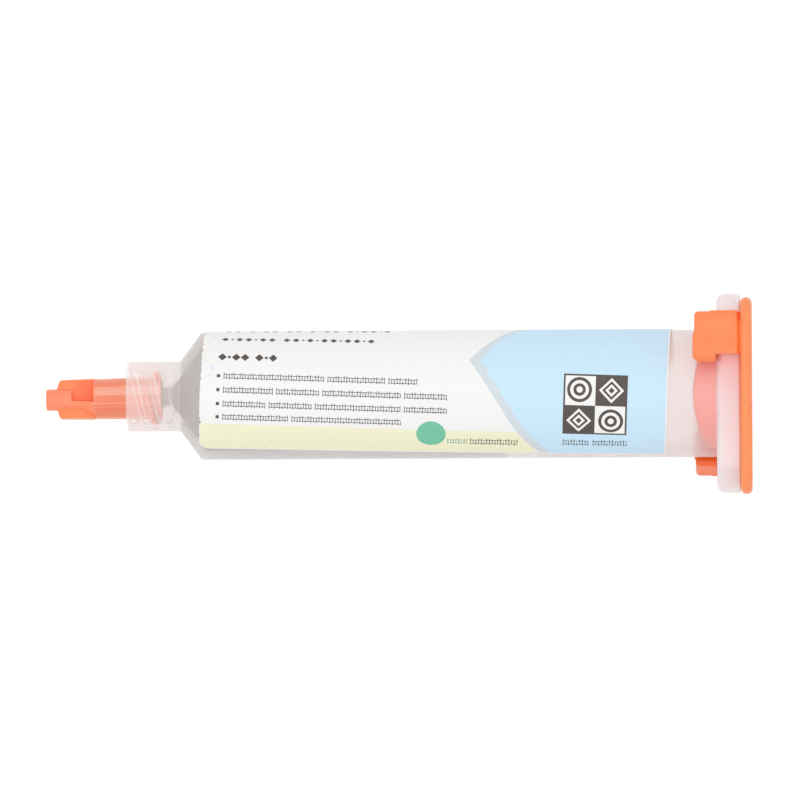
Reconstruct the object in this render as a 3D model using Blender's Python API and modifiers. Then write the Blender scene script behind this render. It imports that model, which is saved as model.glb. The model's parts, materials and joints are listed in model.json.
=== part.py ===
"""A 10 cc solder paste syringe, lying on a table with its nose towards -X.

Each piece is drawn upright along its own turning axis: local Z runs forward from
the back of the finger flange to the nose, local X points up from the table and
local Y is sideways. One empty then lays them all down.
"""

import math

import bmesh
import bpy
from mathutils import Matrix

mm = 0.001
ROUND = 48
FACET = 2 * math.pi / ROUND
MERGE = 0.002 * mm
OVERLAP = 0.6 * mm
SHARP = math.radians(35)
RIM_SEGMENTS = 3

# Barrel
BARREL_D = 18.6 * mm
BARREL_WALL = 1.35 * mm
BARREL_LENGTH = 78.8 * mm
SHOULDER_ANGLE = math.radians(53.5)
MOUTH_CHAMFER = 0.4 * mm
COLLAR_D = 10.2 * mm
COLLAR_WALL = 1.1 * mm
COLLAR_LENGTH = 7.8 * mm
COLLAR_FLOOR = 0.5 * mm
COLLAR_EDGE = 0.3 * mm
NOZZLE_TIP_D = 3.96 * mm
NOZZLE_TAPER = 0.06
NOZZLE_REACH = 2.3 * mm
NOZZLE_BORE_D = 2.6 * mm
FLANGE_REACH = 5.25 * mm
FLANGE_SIDE = 1.0 * mm
FLANGE_THICKNESS = 3.44 * mm
FLANGE_ROUND = 1.2 * mm

# Label
LABEL_GAP = 0.05 * mm
LABEL_THICKNESS = 0.12 * mm
LABEL_WRAP = 36.0 * mm
LABEL_CORNER = 1.6 * mm
LABEL_SKEW = math.radians(2.2)
LABEL_FROM_FLANGE = 7.1 * mm
LABEL_SHORT_OF_SHOULDER = 0.25 * mm
LABEL_MIDDLE = math.radians(49)

# Piston and paste
PISTON_BACK = 27.6 * mm
PISTON_SKIRT = 6.8 * mm
PISTON_WALL = 1.2 * mm
PISTON_LIP = 1.3 * mm
PISTON_WAIST = 0.6 * mm
PISTON_TIP_D = 2.4 * mm
PISTON_GAP = 0.08 * mm
PASTE_GAP = 0.1 * mm
PASTE_SHORT_OF_TIP = 0.4 * mm

# Tip cap
CAP_INSET = 5.1 * mm
CAP_TAPER_GAP = 0.1 * mm
CAP_SOCKET_SPARE = 0.6 * mm
GRIP_WALL = 0.97 * mm
GRIP_LENGTH = 9.9 * mm
RIBS = 6
RIB_HEIGHT = 0.18 * mm
RIB_ARC = math.radians(13)
FLARE_STEP = 0.3 * mm
FLARE_LENGTH = 3.3 * mm
FLARE_HOLLOW = 1.6
FLARE_STEPS = 6
POCKET_TURN = math.radians(20)
STUB_D = 3.14 * mm
STUB_LENGTH = 3.75 * mm
STUB_EDGE = 0.2 * mm
WING_STEP = 0.15 * mm
WING_THICKNESS = 1.3 * mm
WING_LENGTH = 5.45 * mm
WING_SLANT = 0.6 * mm
WING_TURN = math.radians(12)
LUG_GAP = 0.15 * mm
LUG_SETBACK = 0.1 * mm
LUG_BASE = 1.0 * mm
LUG_CREST = 0.6 * mm
LUG_SWEEP = math.radians(115)
LUG_START = math.radians(-104)
THREAD_LEAD = 5.0 * mm

# End cap
SEAT_GAP = 0.1 * mm
PLATE_SHORT_OF_FLANGE = 0.25 * mm
PLATE_THICKNESS = 1.6 * mm
PLATE_CORNER = 4.0 * mm
PLATE_RIM = 0.2 * mm
PLATE_EDGE_FLAT = 0.2 * mm
PLUG_GAP = 0.2 * mm
PLUG_WALL = 1.2 * mm
PLUG_LENGTH = 6.9 * mm
CLIP_GAP = 0.25 * mm
CLIP_WALL = 1.45 * mm
CLIP_RUN = 4.7 * mm
CLIP_PAST_CORNER = math.radians(3.4)
HOOK_THICKNESS = 2.55 * mm
HOOK_PAD = 0.25 * mm
HOOK_PAD_SHORT = 0.75 * mm
HOOK_TAIL = 1.2 * mm
HOOK_REACH = 4.5 * mm
HOOK_ROUND = 0.7 * mm
HOOK_SHORT_OF_CORNER = math.radians(6.9)

# Stations along the axis, measured forward from the back of the flange
BARREL_R = BARREL_D / 2
BORE_R = BARREL_R - BARREL_WALL
COLLAR_R = COLLAR_D / 2
COLLAR_BORE_R = COLLAR_R - COLLAR_WALL
FLANGE_R = BARREL_R + FLANGE_REACH
FLANGE_FLAT = BARREL_R + FLANGE_SIDE
FLANGE_CORNER = math.acos(FLANGE_FLAT / FLANGE_R)
SHOULDER_SLOPE = math.tan(SHOULDER_ANGLE)
SHOULDER_END = BARREL_LENGTH + (BARREL_R - COLLAR_R) / SHOULDER_SLOPE
COLLAR_FRONT = SHOULDER_END + COLLAR_LENGTH
NOZZLE_TIP = COLLAR_FRONT + NOZZLE_REACH
NOZZLE_TIP_R = NOZZLE_TIP_D / 2
NOZZLE_BORE_R = NOZZLE_BORE_D / 2
LABEL_LENGTH = BARREL_LENGTH - LABEL_SHORT_OF_SHOULDER - FLANGE_THICKNESS - LABEL_FROM_FLANGE
GRIP_R = NOZZLE_TIP_R + CAP_TAPER_GAP + GRIP_WALL
CAP_RIM = COLLAR_FRONT - CAP_INSET
CAP_SHOULDER = CAP_RIM + GRIP_LENGTH
STUB_BACK = CAP_SHOULDER + FLARE_LENGTH
CAP_TIP = STUB_BACK + STUB_LENGTH
PISTON_FRONT = PISTON_BACK + PISTON_SKIRT
CLIP_FLAT = FLANGE_FLAT + CLIP_GAP
UNLOCK_ANGLE = FLANGE_CORNER - HOOK_SHORT_OF_CORNER
PLATE_BACK = -SEAT_GAP - PLATE_THICKNESS
PLATE_HALF_WIDTH = CLIP_FLAT + CLIP_WALL + PLATE_RIM
PLATE_HALF_LENGTH = FLANGE_R - PLATE_SHORT_OF_FLANGE


def nozzle_r(station):
    """Outer radius of the tapered nozzle at a station."""
    return NOZZLE_TIP_R + NOZZLE_TAPER / 2 * (NOZZLE_TIP - station)


def bore_cone_station(radius, gap=0.0):
    """Where the cone inside the shoulder, drawn in by a gap, has a given radius."""
    wall_along_axis = (BARREL_WALL + gap) / math.sin(SHOULDER_ANGLE)
    return BARREL_LENGTH - wall_along_axis + (BARREL_R - radius) / SHOULDER_SLOPE


def material(name, colour, roughness, alpha=1.0):
    """A plain plastic or paper finish."""
    made = bpy.data.materials.new(name)
    made.use_nodes = True
    shader = made.node_tree.nodes["Principled BSDF"]
    shader.inputs["Base Color"].default_value = (*colour, 1.0)
    shader.inputs["Roughness"].default_value = roughness
    shader.inputs["Metallic"].default_value = 0.0
    shader.inputs["Alpha"].default_value = alpha
    made.diffuse_color = (*colour, alpha)
    return made


def collection(name):
    made = bpy.data.collections.new(name)
    bpy.context.scene.collection.children.link(made)
    return made


def add(name, mesh, frame, group):
    """A new object in the turning frame."""
    obj = bpy.data.objects.new(name, mesh)
    group.objects.link(obj)
    obj.parent = frame
    return obj


def turned(name, profile, frame, group):
    """A solid of revolution from (station, radius) points that run back along its outer side."""
    count = len(profile)
    edges = [(i, i + 1) for i in range(count - 1)]
    if profile[0][1] > 0:
        edges.append((count - 1, 0))
    mesh = bpy.data.meshes.new(name)
    mesh.from_pydata([(radius, 0, station) for station, radius in profile], edges, [])
    obj = add(name, mesh, frame, group)
    screw = obj.modifiers.new("turn", "SCREW")
    screw.axis = "Z"
    screw.steps = ROUND
    screw.render_steps = ROUND
    screw.use_merge_vertices = True
    screw.merge_threshold = MERGE
    return obj


def mesh_of(obj):
    """The evaluated, welded mesh of an object; the object itself is removed."""
    bpy.context.view_layer.update()
    graph = bpy.context.evaluated_depsgraph_get()
    mesh = bpy.data.meshes.new_from_object(obj.evaluated_get(graph))
    bpy.data.objects.remove(obj)
    shape = bmesh.new()
    shape.from_mesh(mesh)
    bmesh.ops.remove_doubles(shape, verts=shape.verts, dist=MERGE)
    bmesh.ops.recalc_face_normals(shape, faces=shape.faces)
    shape.to_mesh(mesh)
    shape.free()
    return mesh


def outline_curve(name, outline, group):
    """A filled flat curve through the outline's points."""
    curve = bpy.data.curves.new(name, "CURVE")
    curve.dimensions = "2D"
    curve.fill_mode = "BOTH"
    spline = curve.splines.new("POLY")
    spline.points.add(len(outline) - 1)
    for point, (x, y) in zip(spline.points, outline):
        point.co = (x, y, 0, 1)
    spline.use_cyclic_u = True
    obj = bpy.data.objects.new(name, curve)
    group.objects.link(obj)
    return obj


def slab(name, outline, low, high, frame, group):
    """A flat outline, extruded from local z low to high."""
    flat = outline_curve(name + "_outline", outline, group)
    flat.data.extrude = (high - low) / 2
    mesh = mesh_of(flat)
    mesh.transform(Matrix.Translation((0, 0, (low + high) / 2)))
    return add(name, mesh, frame, group)


def round_rims(obj, stations, radius):
    """Rounds the slab's rim at each of the given stations."""
    shape = bmesh.new()
    shape.from_mesh(obj.data)
    rims = []
    for edge in shape.edges:
        at_rim = any(
            all(abs(v.co.z - station) < MERGE for v in edge.verts) for station in stations
        )
        if at_rim and edge.calc_face_angle(0) > SHARP:
            rims.append(edge)
    bmesh.ops.bevel(
        shape, geom=rims, offset=radius, segments=RIM_SEGMENTS, profile=0.5, affect="EDGES"
    )
    shape.to_mesh(obj.data)
    shape.free()


def boolean(obj, other, operation):
    modifier = obj.modifiers.new(operation.lower() + "_" + other.name, "BOOLEAN")
    modifier.operation = operation
    modifier.object = other
    other.hide_render = True
    other.display_type = "WIRE"


def finish(obj, finish_material):
    """Smooth round faces with crisp edges, and the piece's material."""
    obj.data.materials.append(finish_material)
    obj.data.shade_smooth()
    if obj.data.polygons:
        obj.data.set_sharp_from_angle(angle=SHARP)
    return obj


def arc(radius, first, last, centre=(0.0, 0.0)):
    """Points on a circle, both ends included, about one to a facet."""
    steps = max(2, round(abs(last - first) / FACET))
    angles = [first + (last - first) * i / steps for i in range(steps + 1)]
    return [
        (centre[0] + radius * math.cos(a), centre[1] + radius * math.sin(a)) for a in angles
    ]


def rounded_rectangle(half_x, half_y, corner):
    outline = []
    for quarter, (sx, sy) in enumerate([(1, 1), (-1, 1), (-1, -1), (1, -1)]):
        centre = (sx * (half_x - corner), sy * (half_y - corner))
        start = quarter * math.pi / 2
        outline += arc(corner, start, start + math.pi / 2, centre)
    return outline


def flange_outline():
    """A disc with two flats that face up and down."""
    upper = arc(FLANGE_R, FLANGE_CORNER, math.pi - FLANGE_CORNER)
    return upper + [(-x, -y) for x, y in upper]


def make_barrel(frame, group, helpers):
    """One moulding: flange, barrel, shoulder, lock collar and tapered nozzle."""
    floor = SHOULDER_END + COLLAR_FLOOR
    body = turned(
        "barrel",
        [
            (NOZZLE_TIP, 0),
            (NOZZLE_TIP, NOZZLE_TIP_R),
            (floor, nozzle_r(floor)),
            (floor, COLLAR_BORE_R),
            (COLLAR_FRONT - COLLAR_EDGE, COLLAR_BORE_R),
            (COLLAR_FRONT, COLLAR_BORE_R + COLLAR_EDGE),
            (COLLAR_FRONT, COLLAR_R - COLLAR_EDGE),
            (COLLAR_FRONT - COLLAR_EDGE, COLLAR_R),
            (SHOULDER_END, COLLAR_R),
            (BARREL_LENGTH, BARREL_R),
            (FLANGE_THICKNESS / 2, BARREL_R),
            (FLANGE_THICKNESS / 2, 0),
        ],
        frame,
        group,
    )
    flange = slab("flange", flange_outline(), 0, FLANGE_THICKNESS, frame, helpers)
    round_rims(flange, [FLANGE_THICKNESS], FLANGE_ROUND)
    bore = turned(
        "bore",
        [
            (NOZZLE_TIP + OVERLAP, 0),
            (NOZZLE_TIP + OVERLAP, NOZZLE_BORE_R),
            (bore_cone_station(NOZZLE_BORE_R), NOZZLE_BORE_R),
            (bore_cone_station(BORE_R), BORE_R),
            (MOUTH_CHAMFER, BORE_R),
            (-OVERLAP, BORE_R + MOUTH_CHAMFER + OVERLAP),
            (-OVERLAP, 0),
        ],
        frame,
        helpers,
    )
    boolean(body, flange, "UNION")
    boolean(body, bore, "DIFFERENCE")
    return body


def make_label(frame, group):
    """A flat rounded sheet, skewed, cut into facets and bent round the barrel."""
    outline = rounded_rectangle(LABEL_LENGTH / 2, LABEL_WRAP / 2, LABEL_CORNER)
    flat = outline_curve("label_outline", outline, group)
    mesh = mesh_of(flat)
    radius = BARREL_R + LABEL_GAP
    middle = BARREL_LENGTH - LABEL_SHORT_OF_SHOULDER - LABEL_LENGTH / 2
    shape = bmesh.new()
    shape.from_mesh(mesh)
    shape.transform(Matrix.Rotation(LABEL_SKEW, 4, "Z"))
    for facet in range(-ROUND, ROUND):
        across = radius * (facet * FACET - LABEL_MIDDLE)
        geometry = shape.verts[:] + shape.edges[:] + shape.faces[:]
        bmesh.ops.bisect_plane(
            shape, geom=geometry, dist=MERGE, plane_co=(0, across, 0), plane_no=(0, 1, 0)
        )
    for vert in shape.verts:
        along, across = vert.co.x, vert.co.y
        angle = LABEL_MIDDLE + across / radius
        vert.co = (radius * math.cos(angle), radius * math.sin(angle), middle + along)
    shape.normal_update()
    first = next(iter(shape.faces))
    outward = first.calc_center_median().copy()
    outward.z = 0
    if first.normal.dot(outward) < 0:
        bmesh.ops.reverse_faces(shape, faces=shape.faces)
    shape.to_mesh(mesh)
    shape.free()
    sheet = add("label", mesh, frame, group)
    skin = sheet.modifiers.new("thickness", "SOLIDIFY")
    skin.thickness = LABEL_THICKNESS
    skin.offset = 1
    return sheet


def make_paste(frame, group):
    """Fills the barrel from the piston to the nozzle, as one slug."""
    nose = PISTON_FRONT + PASTE_GAP
    tip_r = PISTON_TIP_D / 2
    slug_r = BORE_R - PASTE_GAP
    core_r = NOZZLE_BORE_R - PASTE_GAP
    return turned(
        "solder_paste",
        [
            (NOZZLE_TIP - PASTE_SHORT_OF_TIP, 0),
            (NOZZLE_TIP - PASTE_SHORT_OF_TIP, core_r),
            (bore_cone_station(core_r, PASTE_GAP), core_r),
            (bore_cone_station(slug_r, PASTE_GAP), slug_r),
            (nose, slug_r),
            (nose + (BORE_R - tip_r) / SHOULDER_SLOPE, tip_r),
            (nose + (BORE_R - tip_r) / SHOULDER_SLOPE, 0),
        ],
        frame,
        group,
    )


def make_piston(frame, group):
    """A hollow wiper piston with a lip at each end and a cone that matches the shoulder."""
    lip_r = BORE_R - PISTON_GAP
    waist_r = lip_r - PISTON_WAIST
    inner_r = waist_r - PISTON_WALL
    tip_r = PISTON_TIP_D / 2
    nose = PISTON_FRONT + (lip_r - tip_r) / SHOULDER_SLOPE
    inner_front = PISTON_FRONT - PISTON_WALL / math.sin(SHOULDER_ANGLE)
    inner_nose = inner_front + inner_r / SHOULDER_SLOPE
    return turned(
        "piston",
        [
            (nose, 0),
            (nose, tip_r),
            (PISTON_FRONT, lip_r),
            (PISTON_FRONT - PISTON_LIP, lip_r),
            (PISTON_FRONT - PISTON_LIP - PISTON_WAIST, waist_r),
            (PISTON_BACK + PISTON_LIP + PISTON_WAIST, waist_r),
            (PISTON_BACK + PISTON_LIP, lip_r),
            (PISTON_BACK, lip_r),
            (PISTON_BACK, inner_r),
            (inner_front, inner_r),
            (inner_nose, 0),
        ],
        frame,
        group,
    )


def grip_outline():
    """The tip cap's grip: a round core with low straight ribs."""
    core_r = GRIP_R - RIB_HEIGHT
    outline = []
    for rib in range(RIBS):
        middle = math.pi / 2 + WING_TURN + rib * 2 * math.pi / RIBS
        next_rib = middle + 2 * math.pi / RIBS
        outline += arc(GRIP_R, middle - RIB_ARC / 2, middle + RIB_ARC / 2)
        outline += arc(core_r, middle + RIB_ARC / 2, next_rib - RIB_ARC / 2)
    return outline


def flare_profile():
    """From the stub's end back along a hollow flare into the grip."""
    stub_r = STUB_D / 2
    flare_r = GRIP_R - FLARE_STEP
    profile = [(CAP_TIP, 0), (CAP_TIP, stub_r - STUB_EDGE), (CAP_TIP - STUB_EDGE, stub_r)]
    for i in range(FLARE_STEPS + 1):
        share = i / FLARE_STEPS
        radius = stub_r + (flare_r - stub_r) * share**FLARE_HOLLOW
        profile.append((STUB_BACK - FLARE_LENGTH * share, radius))
    profile += [(CAP_SHOULDER - OVERLAP, flare_r), (CAP_SHOULDER - OVERLAP, 0)]
    return profile


def make_wings(frame, helpers):
    """One flat blade through the axis, with slanted front edges."""
    half = GRIP_R - WING_STEP
    back = CAP_SHOULDER - OVERLAP
    front = CAP_SHOULDER + WING_LENGTH
    outline = [
        (-half, back),
        (half, back),
        (half, front - WING_SLANT),
        (STUB_D / 2, front),
        (-STUB_D / 2, front),
        (-half, front - WING_SLANT),
    ]
    blade = slab(
        "wings", outline, -WING_THICKNESS / 2, WING_THICKNESS / 2, frame, helpers
    )
    # A third of a turn about the diagonal takes X to Y, Y to Z and Z to X
    upright = Matrix.Rotation(2 * math.pi / 3, 4, (1, 1, 1))
    blade.data.transform(Matrix.Rotation(WING_TURN, 4, "Z") @ upright)
    return blade


def make_pocket(name, turn, frame, helpers):
    """A cutter that clears the flare between a wing's face and a slanting wall."""
    reach = GRIP_R + OVERLAP
    inner = WING_THICKNESS / 2 - OVERLAP / 4
    slant = math.tan(POCKET_TURN)
    outline = [(inner, -inner * slant), (reach, -reach * slant), (reach, reach), (inner, reach)]
    pocket = slab(name, outline, CAP_SHOULDER - OVERLAP / 2, STUB_BACK, frame, helpers)
    pocket.data.transform(Matrix.Rotation(turn, 4, "Z"))
    return pocket


def make_lug(name, start, frame, helpers):
    """A short length of right-hand screw thread on the tip cap's rim."""
    crest_r = COLLAR_BORE_R - LUG_GAP
    root_r = GRIP_R - RIB_HEIGHT - OVERLAP / 2
    middle = CAP_RIM + LUG_SETBACK + LUG_BASE / 2
    profile = [
        (root_r, 0, middle - LUG_BASE / 2),
        (root_r, 0, middle + LUG_BASE / 2),
        (crest_r, 0, middle + LUG_CREST / 2),
        (crest_r, 0, middle - LUG_CREST / 2),
    ]
    mesh = bpy.data.meshes.new(name)
    mesh.from_pydata(profile, [(0, 1), (1, 2), (2, 3), (3, 0)], [])
    swept = add(name + "_sweep", mesh, None, helpers)
    screw = swept.modifiers.new("sweep", "SCREW")
    screw.axis = "Z"
    screw.angle = LUG_SWEEP
    screw.screw_offset = THREAD_LEAD * LUG_SWEEP / (2 * math.pi)
    screw.steps = round(LUG_SWEEP / FACET)
    screw.render_steps = screw.steps
    solid = mesh_of(swept)
    shape = bmesh.new()
    shape.from_mesh(solid)
    bmesh.ops.holes_fill(shape, edges=shape.edges, sides=4)
    bmesh.ops.recalc_face_normals(shape, faces=shape.faces)
    shape.to_mesh(solid)
    shape.free()
    solid.transform(Matrix.Rotation(start, 4, "Z"))
    return add(name, solid, frame, helpers)


def make_tip_cap(frame, group, helpers):
    """One moulding that screws on the nozzle: ribbed grip, flare, wings, stub and two lugs."""
    cap = slab("tip_cap", grip_outline(), CAP_RIM, CAP_SHOULDER, frame, group)
    flare = turned("flare", flare_profile(), frame, helpers)
    boolean(cap, flare, "UNION")
    boolean(cap, make_wings(frame, helpers), "UNION")
    for side, turn in enumerate([0.0, math.pi]):
        pocket = make_pocket(f"pocket_{side + 1}", WING_TURN + turn, frame, helpers)
        boolean(flare, pocket, "DIFFERENCE")
        lug = make_lug(f"lug_{side + 1}", LUG_START + turn, frame, helpers)
        boolean(cap, lug, "UNION")
    bottom = NOZZLE_TIP + CAP_SOCKET_SPARE
    mouth = CAP_RIM - OVERLAP
    socket = turned(
        "socket",
        [
            (bottom, 0),
            (bottom, nozzle_r(bottom) + CAP_TAPER_GAP),
            (mouth, nozzle_r(mouth) + CAP_TAPER_GAP),
            (mouth, 0),
        ],
        frame,
        helpers,
    )
    boolean(cap, socket, "DIFFERENCE")
    return cap


def make_clip(side, turn, frame, helpers):
    """A hook that reaches over the flange from a wall which follows the flange's corner."""
    pivot = bpy.data.objects.new(side + "_side", None)
    pivot.rotation_euler = (0, 0, turn)
    pivot.parent = frame
    helpers.objects.link(pivot)

    inner_r = FLANGE_R + CLIP_GAP
    outer_r = inner_r + CLIP_WALL
    outer_flat = CLIP_FLAT + CLIP_WALL
    inner_corner = math.acos(CLIP_FLAT / inner_r)
    outer_corner = math.acos(outer_flat / outer_r)
    end = inner_corner + CLIP_PAST_CORNER
    wall_low = inner_r * math.sin(inner_corner) - CLIP_RUN
    tail_low = wall_low - HOOK_TAIL
    clear = outer_flat + OVERLAP

    toward = (math.cos(UNLOCK_ANGLE), math.sin(UNLOCK_ANGLE))
    edge_low = ((CLIP_FLAT - tail_low * toward[1]) / toward[0], tail_low)
    edge_high = (
        CLIP_FLAT * toward[0] - HOOK_REACH * toward[1],
        CLIP_FLAT * toward[1] + HOOK_REACH * toward[0],
    )
    outside = arc(outer_r, outer_corner, end)
    outline = [edge_low, (outer_flat, tail_low), *outside, edge_high]
    back = -SEAT_GAP - PLATE_THICKNESS / 2
    over_flange = FLANGE_THICKNESS + SEAT_GAP
    front = over_flange + HOOK_THICKNESS
    clip = slab(side + "_clip", outline, back, front + HOOK_PAD, pivot, helpers)
    round_rims(clip, [front + HOOK_PAD], HOOK_ROUND)

    room = [
        (0, tail_low - OVERLAP),
        (clear, tail_low - OVERLAP),
        (clear, wall_low),
        (CLIP_FLAT, wall_low),
        *arc(inner_r, inner_corner, math.pi / 2),
    ]
    cutter = slab(side + "_room", room, back - OVERLAP, over_flange, pivot, helpers)
    boolean(clip, cutter, "DIFFERENCE")
    pad_top = outside[0][1] - HOOK_PAD_SHORT
    step = [(0, pad_top), (clear, pad_top), (clear, clear), (0, clear)]
    cutter = slab(side + "_step", step, front, front + HOOK_PAD + OVERLAP, pivot, helpers)
    boolean(clip, cutter, "DIFFERENCE")
    return clip


def make_end_cap(frame, group, helpers):
    """One moulding: plate, hollow plug and two hooks that turn under the flange."""
    outline = rounded_rectangle(PLATE_HALF_WIDTH, PLATE_HALF_LENGTH, PLATE_CORNER)
    cap = slab("end_cap", outline, PLATE_BACK, -SEAT_GAP, frame, group)
    round_rims(cap, [PLATE_BACK, -SEAT_GAP], (PLATE_THICKNESS - PLATE_EDGE_FLAT) / 2)
    plug_r = BORE_R - PLUG_GAP
    root = -SEAT_GAP - PLATE_THICKNESS / 2
    plug = turned(
        "plug",
        [
            (PLUG_LENGTH, plug_r - PLUG_WALL),
            (PLUG_LENGTH, plug_r - MOUTH_CHAMFER),
            (PLUG_LENGTH - MOUTH_CHAMFER, plug_r),
            (root, plug_r),
            (root, plug_r - PLUG_WALL),
        ],
        frame,
        helpers,
    )
    boolean(cap, plug, "UNION")
    boolean(cap, make_clip("upper", 0.0, frame, helpers), "UNION")
    boolean(cap, make_clip("lower", math.pi, frame, helpers), "UNION")
    return cap


def main():
    for old in list(bpy.data.objects):
        bpy.data.objects.remove(old)
    group = collection("solder_paste_syringe")
    helpers = collection("cutters")
    frame = bpy.data.objects.new("turning_axis", None)
    frame.location = ((CAP_TIP + PLATE_BACK) / 2, 0, PLATE_HALF_WIDTH)
    frame.rotation_euler = (0, -math.pi / 2, 0)
    group.objects.link(frame)

    milky = material("milky_polypropylene", (0.86, 0.80, 0.79), 0.35, 0.45)
    orange = material("orange_polyethylene", (0.95, 0.27, 0.11), 0.38)
    paper = material("label_paper", (0.84, 0.84, 0.83), 0.5)
    grey = material("solder_paste", (0.42, 0.42, 0.41), 0.55)
    white = material("white_polyethylene", (0.82, 0.81, 0.79), 0.4)

    finish(make_barrel(frame, group, helpers), milky)
    finish(make_label(frame, group), paper)
    finish(make_paste(frame, group), grey)
    finish(make_piston(frame, group), white)
    finish(make_tip_cap(frame, group, helpers), orange)
    finish(make_end_cap(frame, group, helpers), orange)


main()
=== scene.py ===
"""The looks of a 10 cc solder paste syringe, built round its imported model.

Stations run forward along the turning axis from the back of the finger flange
to the nose. Angles turn round that axis from straight up towards +Y.
"""

import json
import math

import bmesh
import bpy
import numpy as np
from mathutils import Matrix, Vector
from mathutils.geometry import delaunay_2d_cdt


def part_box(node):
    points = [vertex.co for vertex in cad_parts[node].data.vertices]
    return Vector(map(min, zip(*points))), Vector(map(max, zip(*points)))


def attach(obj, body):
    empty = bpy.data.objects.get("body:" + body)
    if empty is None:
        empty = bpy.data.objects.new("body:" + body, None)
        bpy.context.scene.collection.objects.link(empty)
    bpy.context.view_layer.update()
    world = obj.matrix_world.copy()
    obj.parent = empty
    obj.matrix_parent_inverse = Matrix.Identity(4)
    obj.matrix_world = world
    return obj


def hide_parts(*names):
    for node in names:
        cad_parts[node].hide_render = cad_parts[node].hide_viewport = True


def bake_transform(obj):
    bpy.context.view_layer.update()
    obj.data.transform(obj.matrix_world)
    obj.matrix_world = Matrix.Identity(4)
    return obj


mm = 0.001
degree = math.radians(1)
TURN = 2 * math.pi
HIDDEN = 0.01 * mm
OVERLAP = 0.8 * mm
CREASE = 32 * degree

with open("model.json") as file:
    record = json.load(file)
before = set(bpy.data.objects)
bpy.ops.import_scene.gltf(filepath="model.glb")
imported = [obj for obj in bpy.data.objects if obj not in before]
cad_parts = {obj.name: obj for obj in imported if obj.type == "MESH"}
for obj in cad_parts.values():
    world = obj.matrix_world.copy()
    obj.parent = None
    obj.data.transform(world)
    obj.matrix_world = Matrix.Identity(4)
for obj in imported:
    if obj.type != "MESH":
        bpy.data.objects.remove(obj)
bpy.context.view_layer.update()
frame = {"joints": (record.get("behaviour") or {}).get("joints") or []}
TWIST = next(joint for joint in frame["joints"] if joint["name"] == "end_cap_twist")
AXIS = Vector(TWIST["pos_m"])


def stations(node):
    """(rearmost, foremost) station of a node."""
    low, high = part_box(node)
    return AXIS.x - high.x, AXIS.x - low.x


def half_depth(node):
    low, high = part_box(node)
    return (high.y - low.y) / 2


def height_above_axis(node):
    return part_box(node)[1].z - AXIS.z


# Sizes that the frame gives
NOZZLE_TIP = stations("barrel")[1]
FLANGE_R = half_depth("barrel")
FLANGE_FLAT = height_above_axis("barrel")
CAP_RIM, CAP_TIP = stations("tip_cap")
PISTON_BACK, PISTON_NOSE = stations("piston")
PISTON_LIP_R = half_depth("piston")
PASTE_TIP = stations("solder_paste")[1]
PLATE_BACK = stations("end_cap")[0]
HOOK_FRONT = stations("end_cap")[1]
PLATE_HALF_LENGTH = half_depth("end_cap")
PLATE_HALF_WIDTH = height_above_axis("end_cap")

# Barrel
BARREL_COLUMNS = 256
BARREL_R = 9.3 * mm
BARREL_WALL = 1.35 * mm
BORE_R = BARREL_R - BARREL_WALL
BARREL_LENGTH = 78.8 * mm
SHOULDER_ANGLE = 53.5 * degree
SHOULDER_SLOPE = math.tan(SHOULDER_ANGLE)
COLLAR_R = 5.1 * mm
COLLAR_BORE_R = 4.0 * mm
COLLAR_LENGTH = 7.8 * mm
COLLAR_FLOOR_DEPTH = 0.5 * mm
SHOULDER_END = BARREL_LENGTH + (BARREL_R - COLLAR_R) / SHOULDER_SLOPE
COLLAR_FLOOR = SHOULDER_END + COLLAR_FLOOR_DEPTH
COLLAR_FRONT = SHOULDER_END + COLLAR_LENGTH
NOZZLE_TIP_R = 1.98 * mm
NOZZLE_BORE_R = 1.3 * mm
NOZZLE_TAPER = 0.06
FLANGE_THICKNESS = 3.44 * mm
FLANGE_ROUND = 1.2 * mm
FLANGE_BACK_ROUND = 0.3 * mm
FLANGE_BLEND = 1.2 * mm
FLANGE_NECK = 0.15 * mm
MOUTH_CHAMFER = 0.4 * mm
MOUTH_STEP = 0.3 * mm
THREAD_LEAD = 5.0 * mm
THREAD_PITCH = THREAD_LEAD / 2
THREAD_PHASE = 0.4 * mm
THREAD_CREST = 0.3 * mm
THREAD_FLANK = 0.2 * mm
THREAD_DEPTH = 0.3 * mm
THREAD_ROW = 0.04 * mm
THREAD_FADE = 0.5 * mm
BORE_RUN_IN = 0.35 * mm
BORE_RUN_OUT = 0.5 * mm

# Piston and paste
PISTON_FRONT = 34.4 * mm
PISTON_LIP = 1.3 * mm
PISTON_WAIST = 0.6 * mm
PISTON_WALL = 1.2 * mm
PISTON_TIP_R = 1.2 * mm
PISTON_EDGE = 0.12 * mm
SLUG_COLUMNS = 128
PASTE_GAP = 0.1 * mm
WETTED = 0.02 * mm

# Tip cap
CAP_COLUMNS = 360
CAP_SHOULDER = CAP_RIM + 9.9 * mm
STUB_BACK = CAP_SHOULDER + 3.3 * mm
STUB_R = 1.57 * mm
GRIP_RIM_R = 3.12 * mm
GRIP_SHOULDER_R = 2.93 * mm
RIBS = 6
RIB_PITCH = TURN / RIBS
RIB_HEIGHT = 0.18 * mm
RIB_HALF_ARC = 6.2 * degree
RIB_FLANK = 1.5 * degree
RIB_PHASE = -19 * degree
LIT_STRIPE_START = 30 * degree
HIGHLIGHT_HALF_ARC = 1.6 * degree
HIGHLIGHT_LENGTH = 0.14 * mm
MARK_PITCH = 0.19 * mm
GRIP_EDGE = 0.1 * mm
BLADE_BLEND = 0.08 * mm
CAP_STEP = 0.01 * mm
FLARE_R = 2.57 * mm
FLARE_HOLLOW = 1.8
POCKET_START = -8 * degree
WING_ANGLE = 102 * degree
WING_EDGE = 0.12 * mm
WING_HALF_THICKNESS = 0.65 * mm
WING_TIP_HALF_SPAN = 2.8 * mm
WING_FRONT = CAP_SHOULDER + 5.5 * mm
WING_SLANT = 0.62 * mm
WING_ROOT_R = STUB_R - 0.1 * mm
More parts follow.
